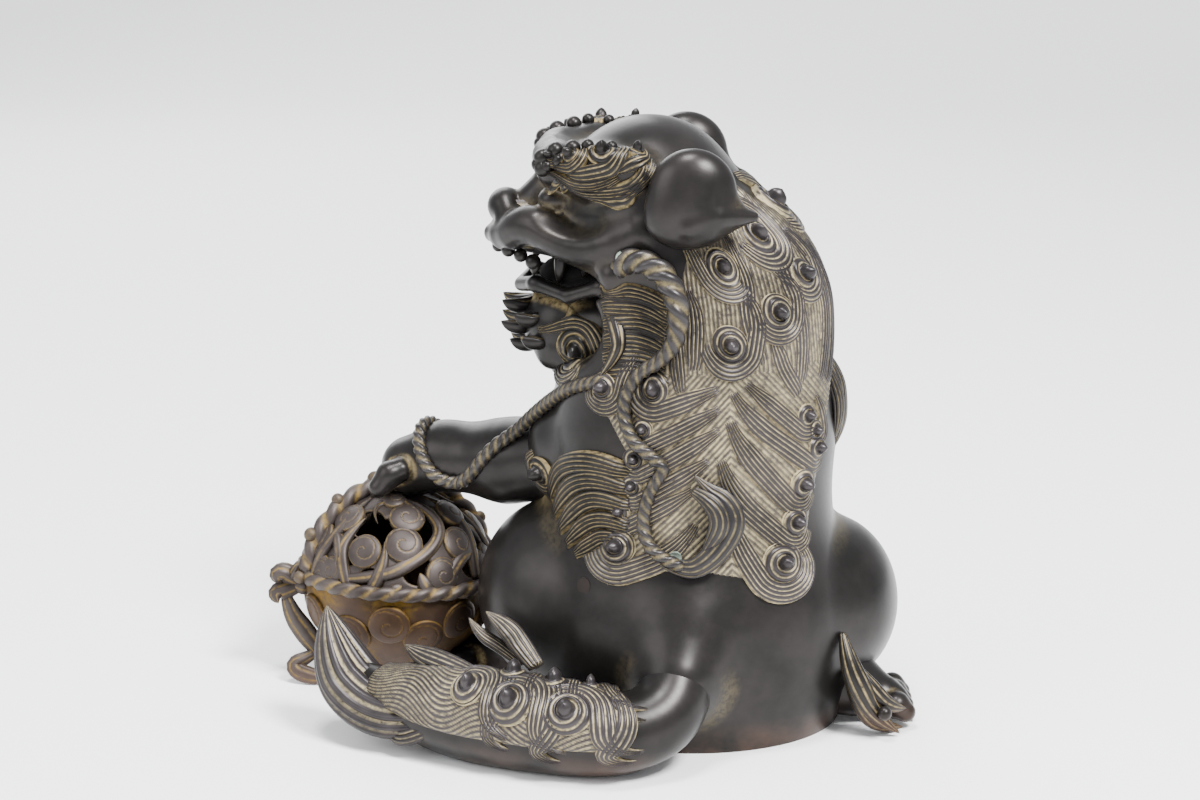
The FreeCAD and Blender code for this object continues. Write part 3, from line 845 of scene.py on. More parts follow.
@dataclass
class Mane:
    """The chased mane: a combed bed, long locks that part at the spine, and snail curls."""

    parting: float = 14.0
    strand: float = 1.9
    tresses: Sequence[Tress] = (
        Tress(((66, 226), (84, 222)), (77, 213), 7, -1, 7, 190),
        Tress(((42, 220), (56, 216)), (46, 205), 7.5, -1, 9, 200),
        Tress(((8, 214), (8, 205)), (21, 195), 8, 1, 8, 160),
        Tress(((62, 208), (68, 199)), (57, 189), 6.5, -1, 7, 190),
        Tress(((40, 196), (50, 188)), (38, 177), 7.5, -1, 8, 210),
        Tress(((24, 192), (30, 178)), (15, 166), 8, -1, 9, 210),
        Tress(((-26, 164), (-30, 156)), (-40, 147), 6.0, -1, 8, 190),
        Tress(((12, 150),), (-18, 148), 6.5, -1, 9, 200),
        Tress(((12, 142),), (-22, 132), 4.5, -1, 8, 120),
        Tress(((12, 134),), (-25, 120), 4.8, -1, 8, 110),
        Tress(((7, 122),), (-26, 109), 4.5, -1, 8, 110),
        Tress(((1, 110),), (-31, 98), 4.8, -1, 8, 120),
        Tress(((2, 98), (-6, 84)), (-31, 84), 8.0, -1, 10, 200),
        Tress(((19, 152),), (49, 134), 5, 1, 8, 150),
        Tress(((14, 150), (18, 139)), (54, 120), 5, 1, 9, 110),
        Tress(((13, 139), (15, 128)), (46, 107), 6.5, 1, 10, 130),
        Tress(((9, 124), (12, 109)), (42, 92), 6.5, 1, 10, 130),
        Tress(((13, 102), (16, 88)), (34, 77), 8.5, 1, 10, 200),
        Tress(((55, 142), (58, 134)), (53, 127), 4.5, -1, 5, 100))
    streams: Sequence[tuple[Sequence[Spot], float]] = (
        (((30, 214), (30, 200), (29, 188), (24, 178), (27, 160), (30, 150)), 8),
        (((48, 222), (52, 206), (47, 190), (49, 170), (47, 152), (46, 138)), 9),
        (((60, 210), (66, 190), (66, 172), (62, 154), (58, 138)), 9),
        (((74, 204), (74, 184), (72, 166), (68, 150), (62, 136)), 9),
        (((34, 170), (36, 158), (42, 148), (48, 140)), 8),
        (((2, 190), (3, 176), (0, 164), (-2, 152)), 8),
        (((-6, 176), (-8, 164), (-8, 154), (-6, 144)), 7))

    def bed_rise(self, a: Array, z: Array) -> tuple[Array, Array]:
        """Height and dust of the combed bed.

        Below the big curl the strands run down and away from the parting, above it they hang
        straight; the bed fades into the skin outside its outline.
        """
        herring = (z + 1.0 * np.abs(a - self.parting)) / (self.strand * 1.41)
        hanging = (a + 5 * np.sin(z / 21)) / self.strand
        share = np.clip((z - 150) / 8, 0, 1)
        ridge = np.where(share > 0.5, ridges(hanging, 1), ridges(herring, 1))
        right = np.interp(z, [64, 80, 100, 120, 145, 170, 200, 225], [36, 48, 54, 60, 74, 80, 82, 66])
        left = np.interp(z, [64, 80, 100, 120, 145, 170, 200, 225], [10, -36, -32, -28, -46, -16, 6, 26])
        foot = np.interp(a, [-50, -25, 0, 18, 30, 50, 60], [84, 74, 76, 72, 62, 70, 88])
        top = 221 + 3 * np.sin(a / 2.9)
        inside = np.minimum(np.minimum(right - a, a - left), np.minimum(z - foot, top - z))
        fade = np.clip(inside / 4, -1, 1)
        rise = fade * 0.9 - 0.3 + np.clip(fade, 0, 1) * 0.7 * ridge
        # dust thins out from the lower mane towards its top
        worn = np.interp(z, [140, 205], [1.15, 0.6])
        return rise, worn * np.clip(fade + 0.4, 0, 1) * np.clip(1.1 - 1.2 * ridge, 0.1, 1)

    def make(self, host: Host) -> None:
        """Lays the bed, the locks and the curls on the figure's host."""
        a, z = np.meshgrid(np.arange(-56, 88, 0.5), np.arange(60, 228, 0.5))
        rise, dust = self.bed_rise(a, z)
        point, normal = host.at(a, z)
        bed = MeshParts()
        bed.add_grid(point + normal * rise[..., None], dust, out=normal)
        dress(bed, "mane_bed", Finish.MANE)
        locks = MeshParts()
        for path, width in self.streams:
            Lock(path, width, 1.6, 5, 0.6).grow(locks, host)
        dress(locks, "mane_locks", Finish.MANE)
        tresses = MeshParts()
        for tress in self.tresses:
            tress.grow(tresses, host)
        dress(tresses, "mane_tresses", Finish.MANE)
        self.make_collar(host)

    def make_collar(self, host: Host) -> None:
        """A combed bed with tiers of locks and curls, round the right side and down the chest."""
        a, z = np.meshgrid(np.arange(74, 274, 0.8), np.arange(100, 216, 0.8))
        top = np.interp(a, [74, 110, 140, 160, 200, 250, 274], [214, 206, 186, 156, 150, 158, 166])
        foot = np.interp(a, [74, 100, 130, 163, 196, 230, 274],
                         [146, 146, 128, 108, 124, 142, 146]) + np.sin(a / 3)
        inside = np.minimum(np.minimum(a - 76, 272 - a), np.minimum(z - foot, top - z))
        fade = np.clip(inside / 4, -1, 1)
        ridge = ridges((a + 5 * np.sin(z / 15)) / self.strand, 1)
        point, normal = host.at(a, z)
        rise = 0.9 * fade - 0.3 + np.clip(fade, 0, 1) * 0.7 * ridge
        bed = MeshParts()
        bed.add_grid(point + normal * rise[..., None], np.clip(1.0 - 1.4 * ridge, 0, 1), out=normal)
        dress(bed, "mane_collar_bed", Finish.MANE)
        collar = MeshParts()
        tiers = ((152, 8.5, 104, 272), (174, 8.5, 112, 150), (196, 8, 116, 142), (133, 8.5, 132, 204),
                 (115, 8, 148, 186))
        for tier, (height, radius, first, last) in enumerate(tiers):
            for place, across in enumerate(np.arange(first, last, 2.05 * radius)):
                turn = 1 if place % 2 else -1
                top = height + 4 * math.sin(1.7 * place + tier)
                Tress(((across - turn * 2, top + 32), (across - turn * 5, top + 14)), (across, top),
                      0.8 * radius, turn, 8, 200).grow(collar, host)
        dress(collar, "mane_collar", Finish.MANE)


@dataclass
class Head:
    """Ears, lower jaw, teeth, brow curls and the hair under the chin."""

    figure: Figure

    def ear(self, p: Array, side: float) -> Array:
        """A bulged leaf with a soft fold that runs out to a tip at the back."""
        y = 43 * side
        field = ellipsoid(p, (2, y, 225), (17, 10, 17.5))
        field = blend(field, ellipsoid(p, (5, y, 215), (15, 8, 11.5)), 8)
        field = blend(field, chain(p, [((-6, y, 217), 8), ((-14, y, 216.5), 4), ((-22, y, 216), 1.0)], 4),
                      7)
        fold = [((-21, y + side, 216), 1.3), ((-8, y + 7 * side, 217), 2.0), ((4, y + 8 * side, 213), 2)]
        return blend(field, chain(p, fold, 3), 4)

    def jaw(self, p: Array) -> Array:
        """The lower jaw: a scoop with a thick lip, a pointed chin and a round beard below."""
        q = both_sides(p, HEAD_Y)
        field = ellipsoid(p, (50, -4, 164), (19, 20, 17))
        field = blend(field, ellipsoid(p, (32, -4, 164), (20, 27, 18)), 8)
        field = carve(field, ellipsoid(p, (48, -4, 183), (19, 17, 8)), 3)
        lip = [((69, -4, 179), 3.0), ((63, 9, 182), 3.2), ((50, 18, 179), 2.8), ((37, 24, 184), 3.2),
               ((31, 26, 178), 3.2), ((31, 26, 160), 3.0)]
        field = blend(field, chain(q, lip, 2), 2)
        return blend(field, chain(q, [((56, 2, 152), 7), ((45, 9, 151), 7)], 3), 4)

    def make_teeth(self) -> None:
        """Knobbed upper lip edge, two fangs on each side, and small lower teeth."""
        teeth = MeshParts()
        for x, y, z, r in ((78, 2, 196, 2.6), (74, 6, 195, 2.8), (69, 9, 193.5, 2.8), (64, 12, 191.5, 3.2)):
            for side in (y, 2 * HEAD_Y - y):
                add_ball(teeth, (x, side, z), r)
        for x, y, z, drop, r in ((63, 12, 192, 6, 2.6), (53, 11, 194, 12, 3.0), (43, 13, 192, 7, 2.4)):
            for side in (y, 2 * HEAD_Y - y):
                Flame(((x, side, z), (x, side, z - drop / 2), (x + 1, side, z - drop)), 2 * r, 1.6 * r, 1,
                      (0, 1, 0), 0.3, 0.9).grow(teeth)
        dress(teeth, "teeth", Finish.BODY)

    def make_brow(self) -> None:
        """Curls and combed locks along both sides of the brow."""
        brow = MeshParts()
        for side in (1, -1):
            host = skin_host(self.figure.whole, (40, HEAD_Y + side * 36, 233), 34)

            def turned(points: Sequence[Spot], side: int = side) -> list[Spot]:
                """The same spots on this side of the head."""
                return [(side * u, v) for u, v in points]

            for path, width in ((((-24, -9), (-12, -12), (2, -13), (15, -10), (22, 0), (23, 10)), 8),
                                (((-28, -3), (-20, -7), (-8, -9), (4, -8), (12, -3)), 7),
                                (((2, -12), (12, -11), (20, -6), (27, 4), (28, 12)), 7)):
                Lock(turned(path), width, 2.4, 5, 0.8).grow(brow, host)
            for start, middle, radius, width in (
                    (((-16, -3), (-8, -4)), (3, 7), 6.5, 7), (((8, -2), (11, -1)), (17, 9), 4.5, 5),
                    (((-26, 2), (-20, 0)), (-11, 6), 5, 6), (((-32, 4), (-28, 2)), (-22, 7), 4.5, 5)):
                start = turned(start)
                Tress(start, turned([middle])[0], radius, side, width, 170).grow(brow, host)
            for u, v, r in ((-4, 15, 2.6), (-12, 14, 3.2), (-20, 12, 3.4), (6, 17, 2.4), (-27, 6, 3.6),
                            (-27, -2, 3.4), (-18, 4, 2.6), (-31, 1, 3.0), (-24, 0, 2.6)):
                spot, way = host.at(np.array(side * u), np.array(v))
                add_ball(brow, spot + way * 1.2, r)
        dress(brow, "brow_curls", Finish.BODY)

    def make_beard(self) -> None:
        """Beard curls on the jaw, strands from the mouth corners and folds of hair on the throat."""
        beard = MeshParts()
        for side in (1, -1):
            host = skin_host(self.jaw, (47, HEAD_Y + side * 22, 158), 20)
            Tress(((side * -19, 5), (side * -13, 6)), (0, 0), 8.5, -side, 7, 240, 2.4).grow(beard, host)
            throat = skin_host(self.figure.whole, (22, HEAD_Y + side * 42, 168), 22)
            for fold in range(6):
                v = 16 - 6.5 * fold
                path = ((-18, v), (-8, v + 2 + fold % 2), (4, v + 1), (17, v - 5))
                Lock([(side * a, b) for a, b in path], 9, 1.8, 5, 0.4, 0.6).grow(beard, throat)
            for height, out, reach in ((171, 4, 11), (163, 7, 12), (155, 4, 11), (167, 13, 10),
                                       (158, 14, 10)):
                root = 67 - 0.03 * out * out - 0.03 * (height - 166) ** 2
                path = ((root - 3, HEAD_Y + side * (out - 4), height + 3),
                        (root + 3, HEAD_Y + side * out, height - 3),
                        (root + reach, HEAD_Y + side * (out + 3), height + 3))
                Flame(path, 8, 6, 3, (1, 0, 0.6), 0.4, 0.5).grow(beard)
            drop = ((32, 28, 178), (29, 34, 168), (30, 36, 158), (36, 34, 150))
            drop = settle(self.figure.whole, drop, 2.0)
            drop[:, 1] = HEAD_Y + side * (drop[:, 1] - HEAD_Y)
            Flame(drop, 7, 6, 3, (0, side, 0), 0.4, 0.6).grow(beard)
        dress(beard, "beard", Finish.BODY)

    def make_mouth(self) -> None:
        """A near-black sheet of painted shade inside the mouth, and the lobes where the lip turns in at its
        corners.
        """
        inside = MeshParts()
        # painted shade: a near-black matt ellipsoid fills the mouth, where the bronze is only in shadow
        add_ball(inside, (42, -4, 184), 1, 0, (20, 17, 8.0))
        dress(inside, "mouth_painted_shade", Finish.HOLLOW)
        lobes = MeshParts()
        for side in (1, -1):
            Flame(((38, HEAD_Y + side * 31, 199), (34, HEAD_Y + side * 35, 195),
                   (31, HEAD_Y + side * 35, 189),
                   (33, HEAD_Y + side * 32, 184)), 9, 7, 2, (0, side, 0), 0.5, 0.6).grow(lobes)
        dress(lobes, "lip_lobes", Finish.BODY)

    def make(self) -> None:
        """Makes the castings of the head."""
        cast_piece("left_ear_leaf", lambda p: self.ear(p, 1), (-26, 30, 198), (26, 58, 246), 0.6,
                   "left_ear")
        cast_piece("right_ear_leaf", lambda p: self.ear(p, -1), (-26, -58, 198), (26, -30, 246), 0.6,
                   "right_ear")
        cast_piece("jaw_scoop", self.jaw, (10, -34, 138), (78, 28, 190), 0.7, "lower_jaw")
        self.make_teeth()
        self.make_brow()
        self.make_beard()
        self.make_mouth()


@dataclass
class Limbs:
    """Two forelegs, two hind feet, their toes, and the tufts behind them."""

    left_arm: Sequence[tuple[Point, float]] = (((40, -10, 106), 20), ((76, -28, 98), 17),
                                               ((102, -39, 97), 14), ((117, -44, 91), 13))
    right_arm: Sequence[tuple[Point, float]] = (((-34, -24, 116), 21), ((-40, -50, 86), 18),
                                                ((-34, -66, 48), 14), ((-25, -72, 14), 11.5))
    left_shank: Sequence[tuple[Point, float]] = (((54, -22, 17), 17), ((70, -32, 14), 13),
                                                 ((86, -40, 10), 9.5))
    right_shank: Sequence[tuple[Point, float]] = (((-50, 4, 18), 18), ((-64, 12, 15), 13),
                                                  ((-78, 16, 10), 9))
    elbow: Sequence[tuple[Sequence[Spot], float]] = (
        (((-74, 90), (-64, 107), (-52, 115), (-36, 117), (-22, 113)), 9),
        (((-68, 86), (-58, 101), (-47, 109), (-34, 110), (-22, 106)), 9),
        (((-62, 82), (-52, 95), (-43, 102), (-32, 102), (-22, 99)), 9),
        (((-56, 78), (-48, 88), (-40, 94), (-30, 94), (-22, 91)), 8),
        (((-50, 76), (-42, 83), (-36, 88), (-28, 87)), 7))

    def paw(self, p: Array, limb: Sequence[tuple[Point, float]], toes: Sequence[tuple[Point, Point]],
            radius: float) -> Array:
        """A limb with toes; each toe is a bent bar from its root to its tip with a claw below."""
        field = chain(p, limb, 5)
        for root, tip in toes:
            middle = [(a + b) / 2 for a, b in zip(root, tip)]
            middle[2] += 0.35 * radius
            claw = (tip[0] + 0.35 * (tip[0] - root[0]), tip[1] + 0.35 * (tip[1] - root[1]),
                    tip[2] - 0.75 * radius)
            joints = [(root, radius), (tuple(middle), 1.05 * radius), (tip, 0.85 * radius)]
            field = blend(field, chain(p, joints, 1.5), 1.5)
            field = blend(field, capsule(p, tip, claw, 0.55 * radius, 0.7), 0.8)
        return np.maximum(field, -p[..., 2])

    def make_tufts(self, host: Host) -> None:
        """Tufts of hair at the left elbow, on the figure's host, and at the right hock."""
        tufts = MeshParts()
        for path, width in self.elbow:
            Lock(path, width, 3.4, 5, 1.2).grow(tufts, host)
        Tress(((-66, 94), (-68, 100)), (-75, 104), 6, -1, 6, 200).grow(tufts, host)
        for points, width in (
                (((-60, 33, 44), (-62, 38, 34), (-67, 40, 22), (-74, 38, 9), (-84, 36, 1.5)), 10),
                (((-66, 34, 30), (-72, 37, 20), (-80, 35, 12), (-87, 30, 10)), 8),
                (((-62, 30, 26), (-68, 34, 12), (-76, 34, 3), (-86, 30, 2)), 8)):
            Flame(points, width, 7, 4, (-0.3, 1, 0.3), 0.45, 0.25).grow(tufts)
        add_ball(tufts, (-77, 41, 12), 3.0)
        dress(tufts, "limb_tufts", Finish.BODY)

    def make(self, host: Host) -> None:
        """Makes the four limbs and the tufts."""
        grip = [((112 + 3 * i, -58 + 9 * i, 93), (124 + 2 * i, -60 + 10.5 * i, 83 + i)) for i in range(4)]
        cast_piece("left_foreleg_cast", lambda p: self.paw(p, self.left_arm, grip, 5.2),
                   (18, -74, 66), (142, 16, 132), 0.8, "left_foreleg")
        spread = [((-38 + 8.5 * i, -80, 9), (-41 + 10 * i, -91, 6)) for i in range(4)]
        cast_piece("right_foreleg_cast", lambda p: self.paw(p, self.right_arm, spread, 5.4),
                   (-66, -103, -1), (0, 2, 142), 0.9, "right_foreleg")
        step = [((88 + 2 * i, -54 + 8 * i, 9), (99 + i, -58 + 9.5 * i, 6)) for i in range(4)]
        cast_piece("left_hind_cast", lambda p: self.paw(p, self.left_shank, step, 5.2),
                   (36, -72, -1), (112, 0, 40), 0.8, "left_hind_foot")
        stand = [((-80, 4 + 7 * i, 9), (-87, 2 + 8 * i, 7)) for i in range(4)]
        cast_piece("right_hind_cast", lambda p: self.paw(p, self.right_shank, stand, 5.0),
                   (-98, -16, -1), (-30, 42, 40), 0.8, "right_hind_foot")
        self.make_tufts(host)


@dataclass
class Tail:
    """The tail that sweeps forward along the ground, with a tuft of wound locks on its upper side."""

    spine: Sequence[tuple[float, float, float, float]] = (
        (-2, 22, 66, 17), (2, 40, 55, 16), (6, 56, 38, 15), (10, 69, 24, 15), (22, 76, 18, 15.5),
        (40, 77, 17, 17), (66, 68, 17, 18), (92, 55, 17, 18.5), (112, 46, 19, 15), (126, 39, 23, 9),
        (135, 33, 29, 3))

    def host(self) -> tuple[Host, float]:
        """The tail's skin as a table over girth and length, and its length."""
        line = even_curve(np.array(self.spine), 1.5)
        _, side, lift = frames_along(line[:, :3], np.array([0.0, 0.0, 1.0]))
        phi = np.radians(np.arange(0, 360, 5))[None, :, None]
        size = line[:, 3][:, None, None]
        out = side[:, None] * np.cos(phi) + lift[:, None] * np.sin(phi)
        points = line[:, None, :3] + size * out
        points[..., 2] = np.maximum(points[..., 2], 0.3)
        return Host(points, out, (0.0, 0.0), (math.radians(5) * 17, 1.5), wrap=True), 1.5 * (len(line) - 1)

    def make(self) -> None:
        """The smooth tail, the combed bed, the tresses and the free tips."""
        host, length = self.host()
        core = MeshParts()
        points = host.points.copy()
        points[0], points[-1] = points[0].mean(0), points[-1].mean(0)
        core.add_grid(points, np.zeros(points.shape[:2]), wrap=True)
        dress(core, "tail_core", Finish.BODY, "tail")
        tuft = MeshParts()
        u, v = np.meshgrid(np.arange(10, 57, 0.5), np.arange(82, length - 6, 0.5))
        root = 86 + 7 * np.sin(u / 3.4) ** 2
        edge = np.minimum(np.minimum(u - 12, 55 - u), np.minimum(v - root, length - 9 - v))
        fade = np.clip(edge / 2.0, -1, 1)
        ridge = ridges((u + 4 * np.sin(v / 6.5)) / 2.0, 1)
        rise = 1.0 * fade - 0.2 + 0.8 * ridge * np.clip(fade, 0, 1)
        point, normal = host.at(u, v)
        tuft.add_grid(point + normal * rise[..., None], np.clip(1.1 - 1.5 * ridge, 0, 1), out=normal)
        for across, along, radius, width in ((40, 103, 9.0, 9), (39, 125, 9.5, 9), (36, 144, 8, 8),
                                             (25, 113, 6.5, 7), (24, 131, 7, 7), (22, 98, 5, 6)):
            path = wound_path(((across + 17, along - 24), (across + 15, along - 12)), (across, along),
                              radius + 0.3 * width, -1, 170)
            Lock(path, width, 2.4, 5, 0.9, 0.2).grow(tuft, host)
            outer = wound_path(((across + 22, along - 22), (across + 19, along - 10)), (across, along),
                               radius + 1.1 * width, -1, 130)
            Lock(outer, width, 2.0, 5, 0.7, 0.2).grow(tuft, host)
            Curl((across, along), radius).grow(tuft, host)
        for points, width, depth in (
                (((92, 56, 22), (114, 51, 15), (131, 41, 17), (143, 30, 29), (148, 24, 52)), 28, 21),
                (((88, 56, 34), (100, 46, 35), (110, 40, 37), (116, 37, 40)), 12, 7),
                (((62, 54, 36), (68, 48, 42), (74, 45, 50), (83, 43, 56)), 10, 7),
                (((68, 50, 36), (76, 44, 41), (86, 41, 46), (90, 41, 53)), 6, 5),
                (((96, 64, 20), (110, 60, 12), (119, 54, 7), (122, 50, 13)), 12, 9)):
            Flame(points, width, depth, 7, (0, 0.5, 1), 0.55, 0.7).grow(tuft)
        dress(tuft, "tail_tuft", Finish.MANE)


@dataclass
class Ball:
    """The brocade ball: pierced scrollwork above, a closed bowl below, twisted bands, bow and ribbon."""

    centre: Point = (124, -47, 40.5)
    radius: float = 40.5
    tilt: Point = (0.435, -0.89, -0.12)

    def at(self, lon: Array, lat: Array, out: float = 0.0) -> Array:
        """Points over the ball at longitudes and latitudes in degrees."""
        return np.asarray(self.centre) + (self.radius + out) * sphere(np.radians(lon), np.radians(lat))

    def add_disc(self, parts: MeshParts, lon: float, lat: float, radius: float) -> None:
        """A lens with a spiral groove, closed by a back face 3 mm further in."""
        middle = self.at(np.array(lon), np.array(lat)) - self.centre
        way = unit(middle)
        across = unit(np.cross((0, 0, 1), way))
        lift = np.cross(way, across)
        r = np.concatenate([np.linspace(0, 1, 22), np.linspace(1, 0, 6)])[:, None]
        phi = np.linspace(0, 2 * math.pi, 48, endpoint=False)[None]
        groove = np.clip(1 - 6 * np.abs(np.sin(math.pi * 1.6 * r - phi / 2)), 0,
                         1) * (r > 0.06) * (r < 0.95)
        face = np.arange(28)[:, None] < 22
        high = np.where(face, 1.6 * np.sqrt(np.clip(1 - r**2, 0, 1)) - 0.45 * groove, -3.0)
        bend = r * radius / self.radius
        flat = np.cos(phi)[..., None] * across + np.sin(phi)[..., None] * lift
        point = np.cos(bend)[..., None] * way + np.sin(bend)[..., None] * flat
        point = np.asarray(self.centre) + point * (self.radius + high)[..., None]
        parts.add_grid(point, np.where(face, 0.7 * groove + 0.5 * (r > 0.93), 0.0), wrap=True)

    def make_scrolls(self) -> None:
        """Discs and vines over the upper half, the same motif three times round, on a pierced skin."""
        scrolls = MeshParts()
        discs = ((105, 56, 7.6), (70, 33, 7.4), (99, 38, 8.0), (143, 33, 7.6), (123, 17, 7.4),
                 (48, 18, 6.0), (160, 14, 6.6), (40, 52, 7.2), (90, 72, 5.0))
        vines = (((56, 14), (85, 18), (103, 26), (121, 34), (135, 45), (131, 62), (84, 73), (58, 62),
                  (76, 51)),
                 ((62, 10), (52, 26), (50, 40), (60, 55)),
                 ((150, 8), (152, 22), (160, 38), (165, 58), (110, 84)),
                 ((123, 10), (135, 22), (150, 26), (168, 20)),
                 ((76, 8), (88, 26), (84, 40)), ((112, 8), (108, 20)), ((118, 50), (112, 68), (60, 80)),
                 ((160, 40), (175, 30), (172, 10)), ((90, 8), (97, 14)))
        for turn in (0, 120, 240):
            for lon, lat, radius in discs:
                self.add_disc(scrolls, lon + turn, lat, radius)
            for vine in vines:
                lon, lat = np.array(vine, float).T
                Flame(self.at(lon + turn, lat, -0.4), 6.5, 5.0, 2, self.at(lon, lat)[0] - self.centre, 0.3,
                      0.7).grow(scrolls)
        dress(scrolls, "ball_scrolls", Finish.BALL, "ball_upper_shell")

        def skin(p: Array) -> Array:
            """A thin pierced skin under the scrolls, from the girth up."""
            field = np.abs(np.linalg.norm(p - np.array(self.centre, np.float32), axis=-1) - 38.4) - 1.1
            for turn in (0, 120, 240):
                for lon, lat, size in ((84, 46, 8.0), (117, 43, 7.0), (133, 56, 5.5), (150, 50, 6.5),
                                       (107, 22, 7.0), (150, 19, 7.0), (64, 52, 7.5), (56, 32, 7.0),
                                       (76, 15, 6.0)):
                    end = self.at(np.array(float(lon + turn)), np.array(float(lat)), 6)
                    field = carve(field, capsule(p, self.centre, end, 0.5 * size, size), 1)
            return np.maximum(field, self.centre[2] + 3 - p[..., 2])

        cast_piece("ball_pierced_skin", skin, (82, -89, 42), (166, -5, 82), 0.7, finish=Finish.BALL)

    def make_bowl(self) -> None:
        """The lower half: one profile turned round, out of the rim and back up inside, with low discs."""
        bowl = MeshParts()
        lat = np.concatenate([np.linspace(8, -90, 50), np.linspace(-90, 8, 30)])[:, None]
        lon = np.linspace(0, 360, 120, endpoint=False)[None]
        inside = np.arange(80)[:, None] >= 50
        wave = np.sin(np.radians(lon * 7)) * np.sin(np.radians(lat * 4 + lon))
        swell = 0.8 * wave * np.cos(np.radians(lat))
        point = self.at(lon * np.ones_like(lat), lat * np.ones_like(lon)) - self.centre
        scale = np.where(inside, 1 - 2.5 / self.radius, 1 + (swell - 0.6) / self.radius)
        point = np.asarray(self.centre) + point * scale[..., None]
        dust = np.clip(0.15 - 0.7 * swell + 0.3 * (lat > -4), 0, 1) * np.ones_like(lon)
        bowl.add_grid(np.concatenate([point, point[:1]]), np.concatenate([dust, dust[:1]]), wrap=True)
        for lon, lat in ((88, -12), (110, -22), (62, -20), (135, -14), (30, -14), (350, -18), (320, -12),
                         (290, -20),
                         (255, -14), (225, -20), (190, -14), (165, -20)):
            self.add_disc(bowl, lon, lat, 9.0)
        dress(bowl, "ball_bowl", Finish.BOWL, "ball_lower_shell")

    def make_bands(self) -> None:
        """A twisted band round the middle, another over the top, with their bow and ribbon."""
        lon = np.arange(-25, 316, 9.0)
        girth = MeshParts()
        Rope(self.at(lon, 4 + 5 * np.cos(np.radians(lon - 56)), 1.0), 3.2, 2, 17).grow(girth)
        dress(girth, "ball_girth_band", Finish.BALL, "ball_equator_cord")
        over = MeshParts()
        normal = unit(np.array(self.tilt))
        first = unit(np.cross(normal, (0, 0, 1)))
        second = np.cross(first, normal)
        second *= np.sign(second[2])
        t = np.radians(np.arange(4, 177, 8.0))[:, None]
        arc = np.asarray(self.centre) + (self.radius + 1.2) * (np.cos(t) * first + np.sin(t) * second)
        Rope(arc, 4.0, 2, 19).grow(over)
        for k, spot in enumerate(arc[::3]):
            add_ball(over, spot + (spot - self.centre) * 0.07, 3.2 - 0.4 * (k % 2), 0.2)
        dress(over, "ball_over_band", Finish.BALL, "ball_meridian_cord")
        tufts_piece("ball_knot", Finish.BALL, (
            (((164, -38, 41), (170, -36, 47), (176, -34, 46), (173, -37, 41)), 9),
            (((164, -38, 41), (171, -38, 38), (177, -36, 37), (174, -34, 33)), 9),
            (((160, -40, 40), (164, -37, 40), (168, -36, 41)), 9),
            (((164, -32, 52), (166, -34, 47), (168, -37, 43)), 6)),
                    7, 3, (0.3, 1, 0.2), 0.5, 0.6, "ball_bow")
        tufts_piece("ball_ribbon_end", Finish.BALL, (
            (((171, -36, 36), (169, -36, 28), (163, -34, 20), (157, -31, 13), (153, -29, 6)), 10),
            (((158, -32, 12), (163, -29, 10), (168, -28, 8), (166, -26, 5), (156, -24, 3),
              (148, -24, 3.5)), 8),
            (((166, -34, 22), (160, -38, 14), (156, -40, 8), (158, -38, 3)), 6)),
                    5, 3, (0.2, 1, 0.2), 0.5, 0.5, "ball_ribbon")

    def make(self) -> None:
        """Makes the ball."""
        self.make_scrolls()
        self.make_bowl()
        self.make_bands()


@dataclass
class Leash:
    """The cast cord from the mouth with its two tassels, and the cord over the chest."""

    figure: Figure
    loop: Sequence[tuple[float, float, float, float]] = (
        (31, 33, 191, 4.4), (29, 38, 197, 4.8), (22, 43, 199, 5.0), (13, 48, 195, 5.0), (8, 51, 186, 4.8),
        (7, 52, 176, 4.4), (9, 51, 167, 3.6), (14, 48, 160, 3.0))
    lead: Sequence[Point] = ((14, 48, 160), (22, 44, 154), (27, 44, 146), (28, 45, 137), (25, 48, 128),
                             (17, 52, 122), (12, 53, 118), (17, 53, 111), (20, 52, 103), (21, 52, 95),
                             (19, 53, 87), (12, 55, 81), (4, 56, 78))
    chest: Sequence[Point] = ((34, 38, 150), (46, 26, 145), (58, 10, 135), (66, -3, 125), (71, -12, 114),
                              (79, -18, 104), (86, -23, 96), (95, -25, 92), (105, -27, 93), (111, -28, 100),
                              (113, -34, 108), (111, -42, 112), (106, -54, 108), (103, -58, 98))

    def make(self) -> None:
        """Makes cords and tassels."""
        lead = MeshParts()
        rest = settle(self.figure.whole, self.lead, 4.0)
        thin = np.concatenate([rest, np.full((len(rest), 1), 2.8)], 1)
        Rope(np.concatenate([self.loop, thin[1:]]), 2.8, 3, 13, (0, 1, 0)).grow(lead)
        dress(lead, "leash_lead", Finish.LEASH, "lead_cord")
        chest = MeshParts()
        arm = Limbs().left_arm
        rest = settle(lambda p: np.minimum(self.figure.whole(p), chain(p, arm, 5)), self.chest, 1.6)
        Rope(rest, 2.9, 3, 13).grow(chest)
        dress(chest, "leash_chest", Finish.LEASH, "chest_cord")
        tufts_piece("leash_tassel", Finish.LEASH, (
            (((14, 54, 81), (4, 57, 77), (-4, 58, 81), (-11, 57, 89), (-15, 56, 98), (-11, 55, 106),
              (-4, 54, 110), (1, 54, 116)), 11),
            (((2, 55, 110), (-6, 57, 106), (-10, 58, 98), (-7, 58, 90), (-2, 57, 84)), 9)),
                    6, 5, (0, 1, 0.2), 0.55, 0.4, "lead_tassel")
        tufts_piece("leash_side_tassel", Finish.LEASH, (
            (((-54, -4, 150), (-59, -3, 142), (-60, -1, 130), (-60, 0, 120), (-57, 1, 111)), 12),
            (((-52, 4, 150), (-58, 4, 138), (-59, 5, 124), (-57, 5, 116)), 8)),
                    6, 6, (-1, 0.3, 0), 0.5, 0.4, "side_tassel")


# ---------------------------------------------------------------------------------------- studio

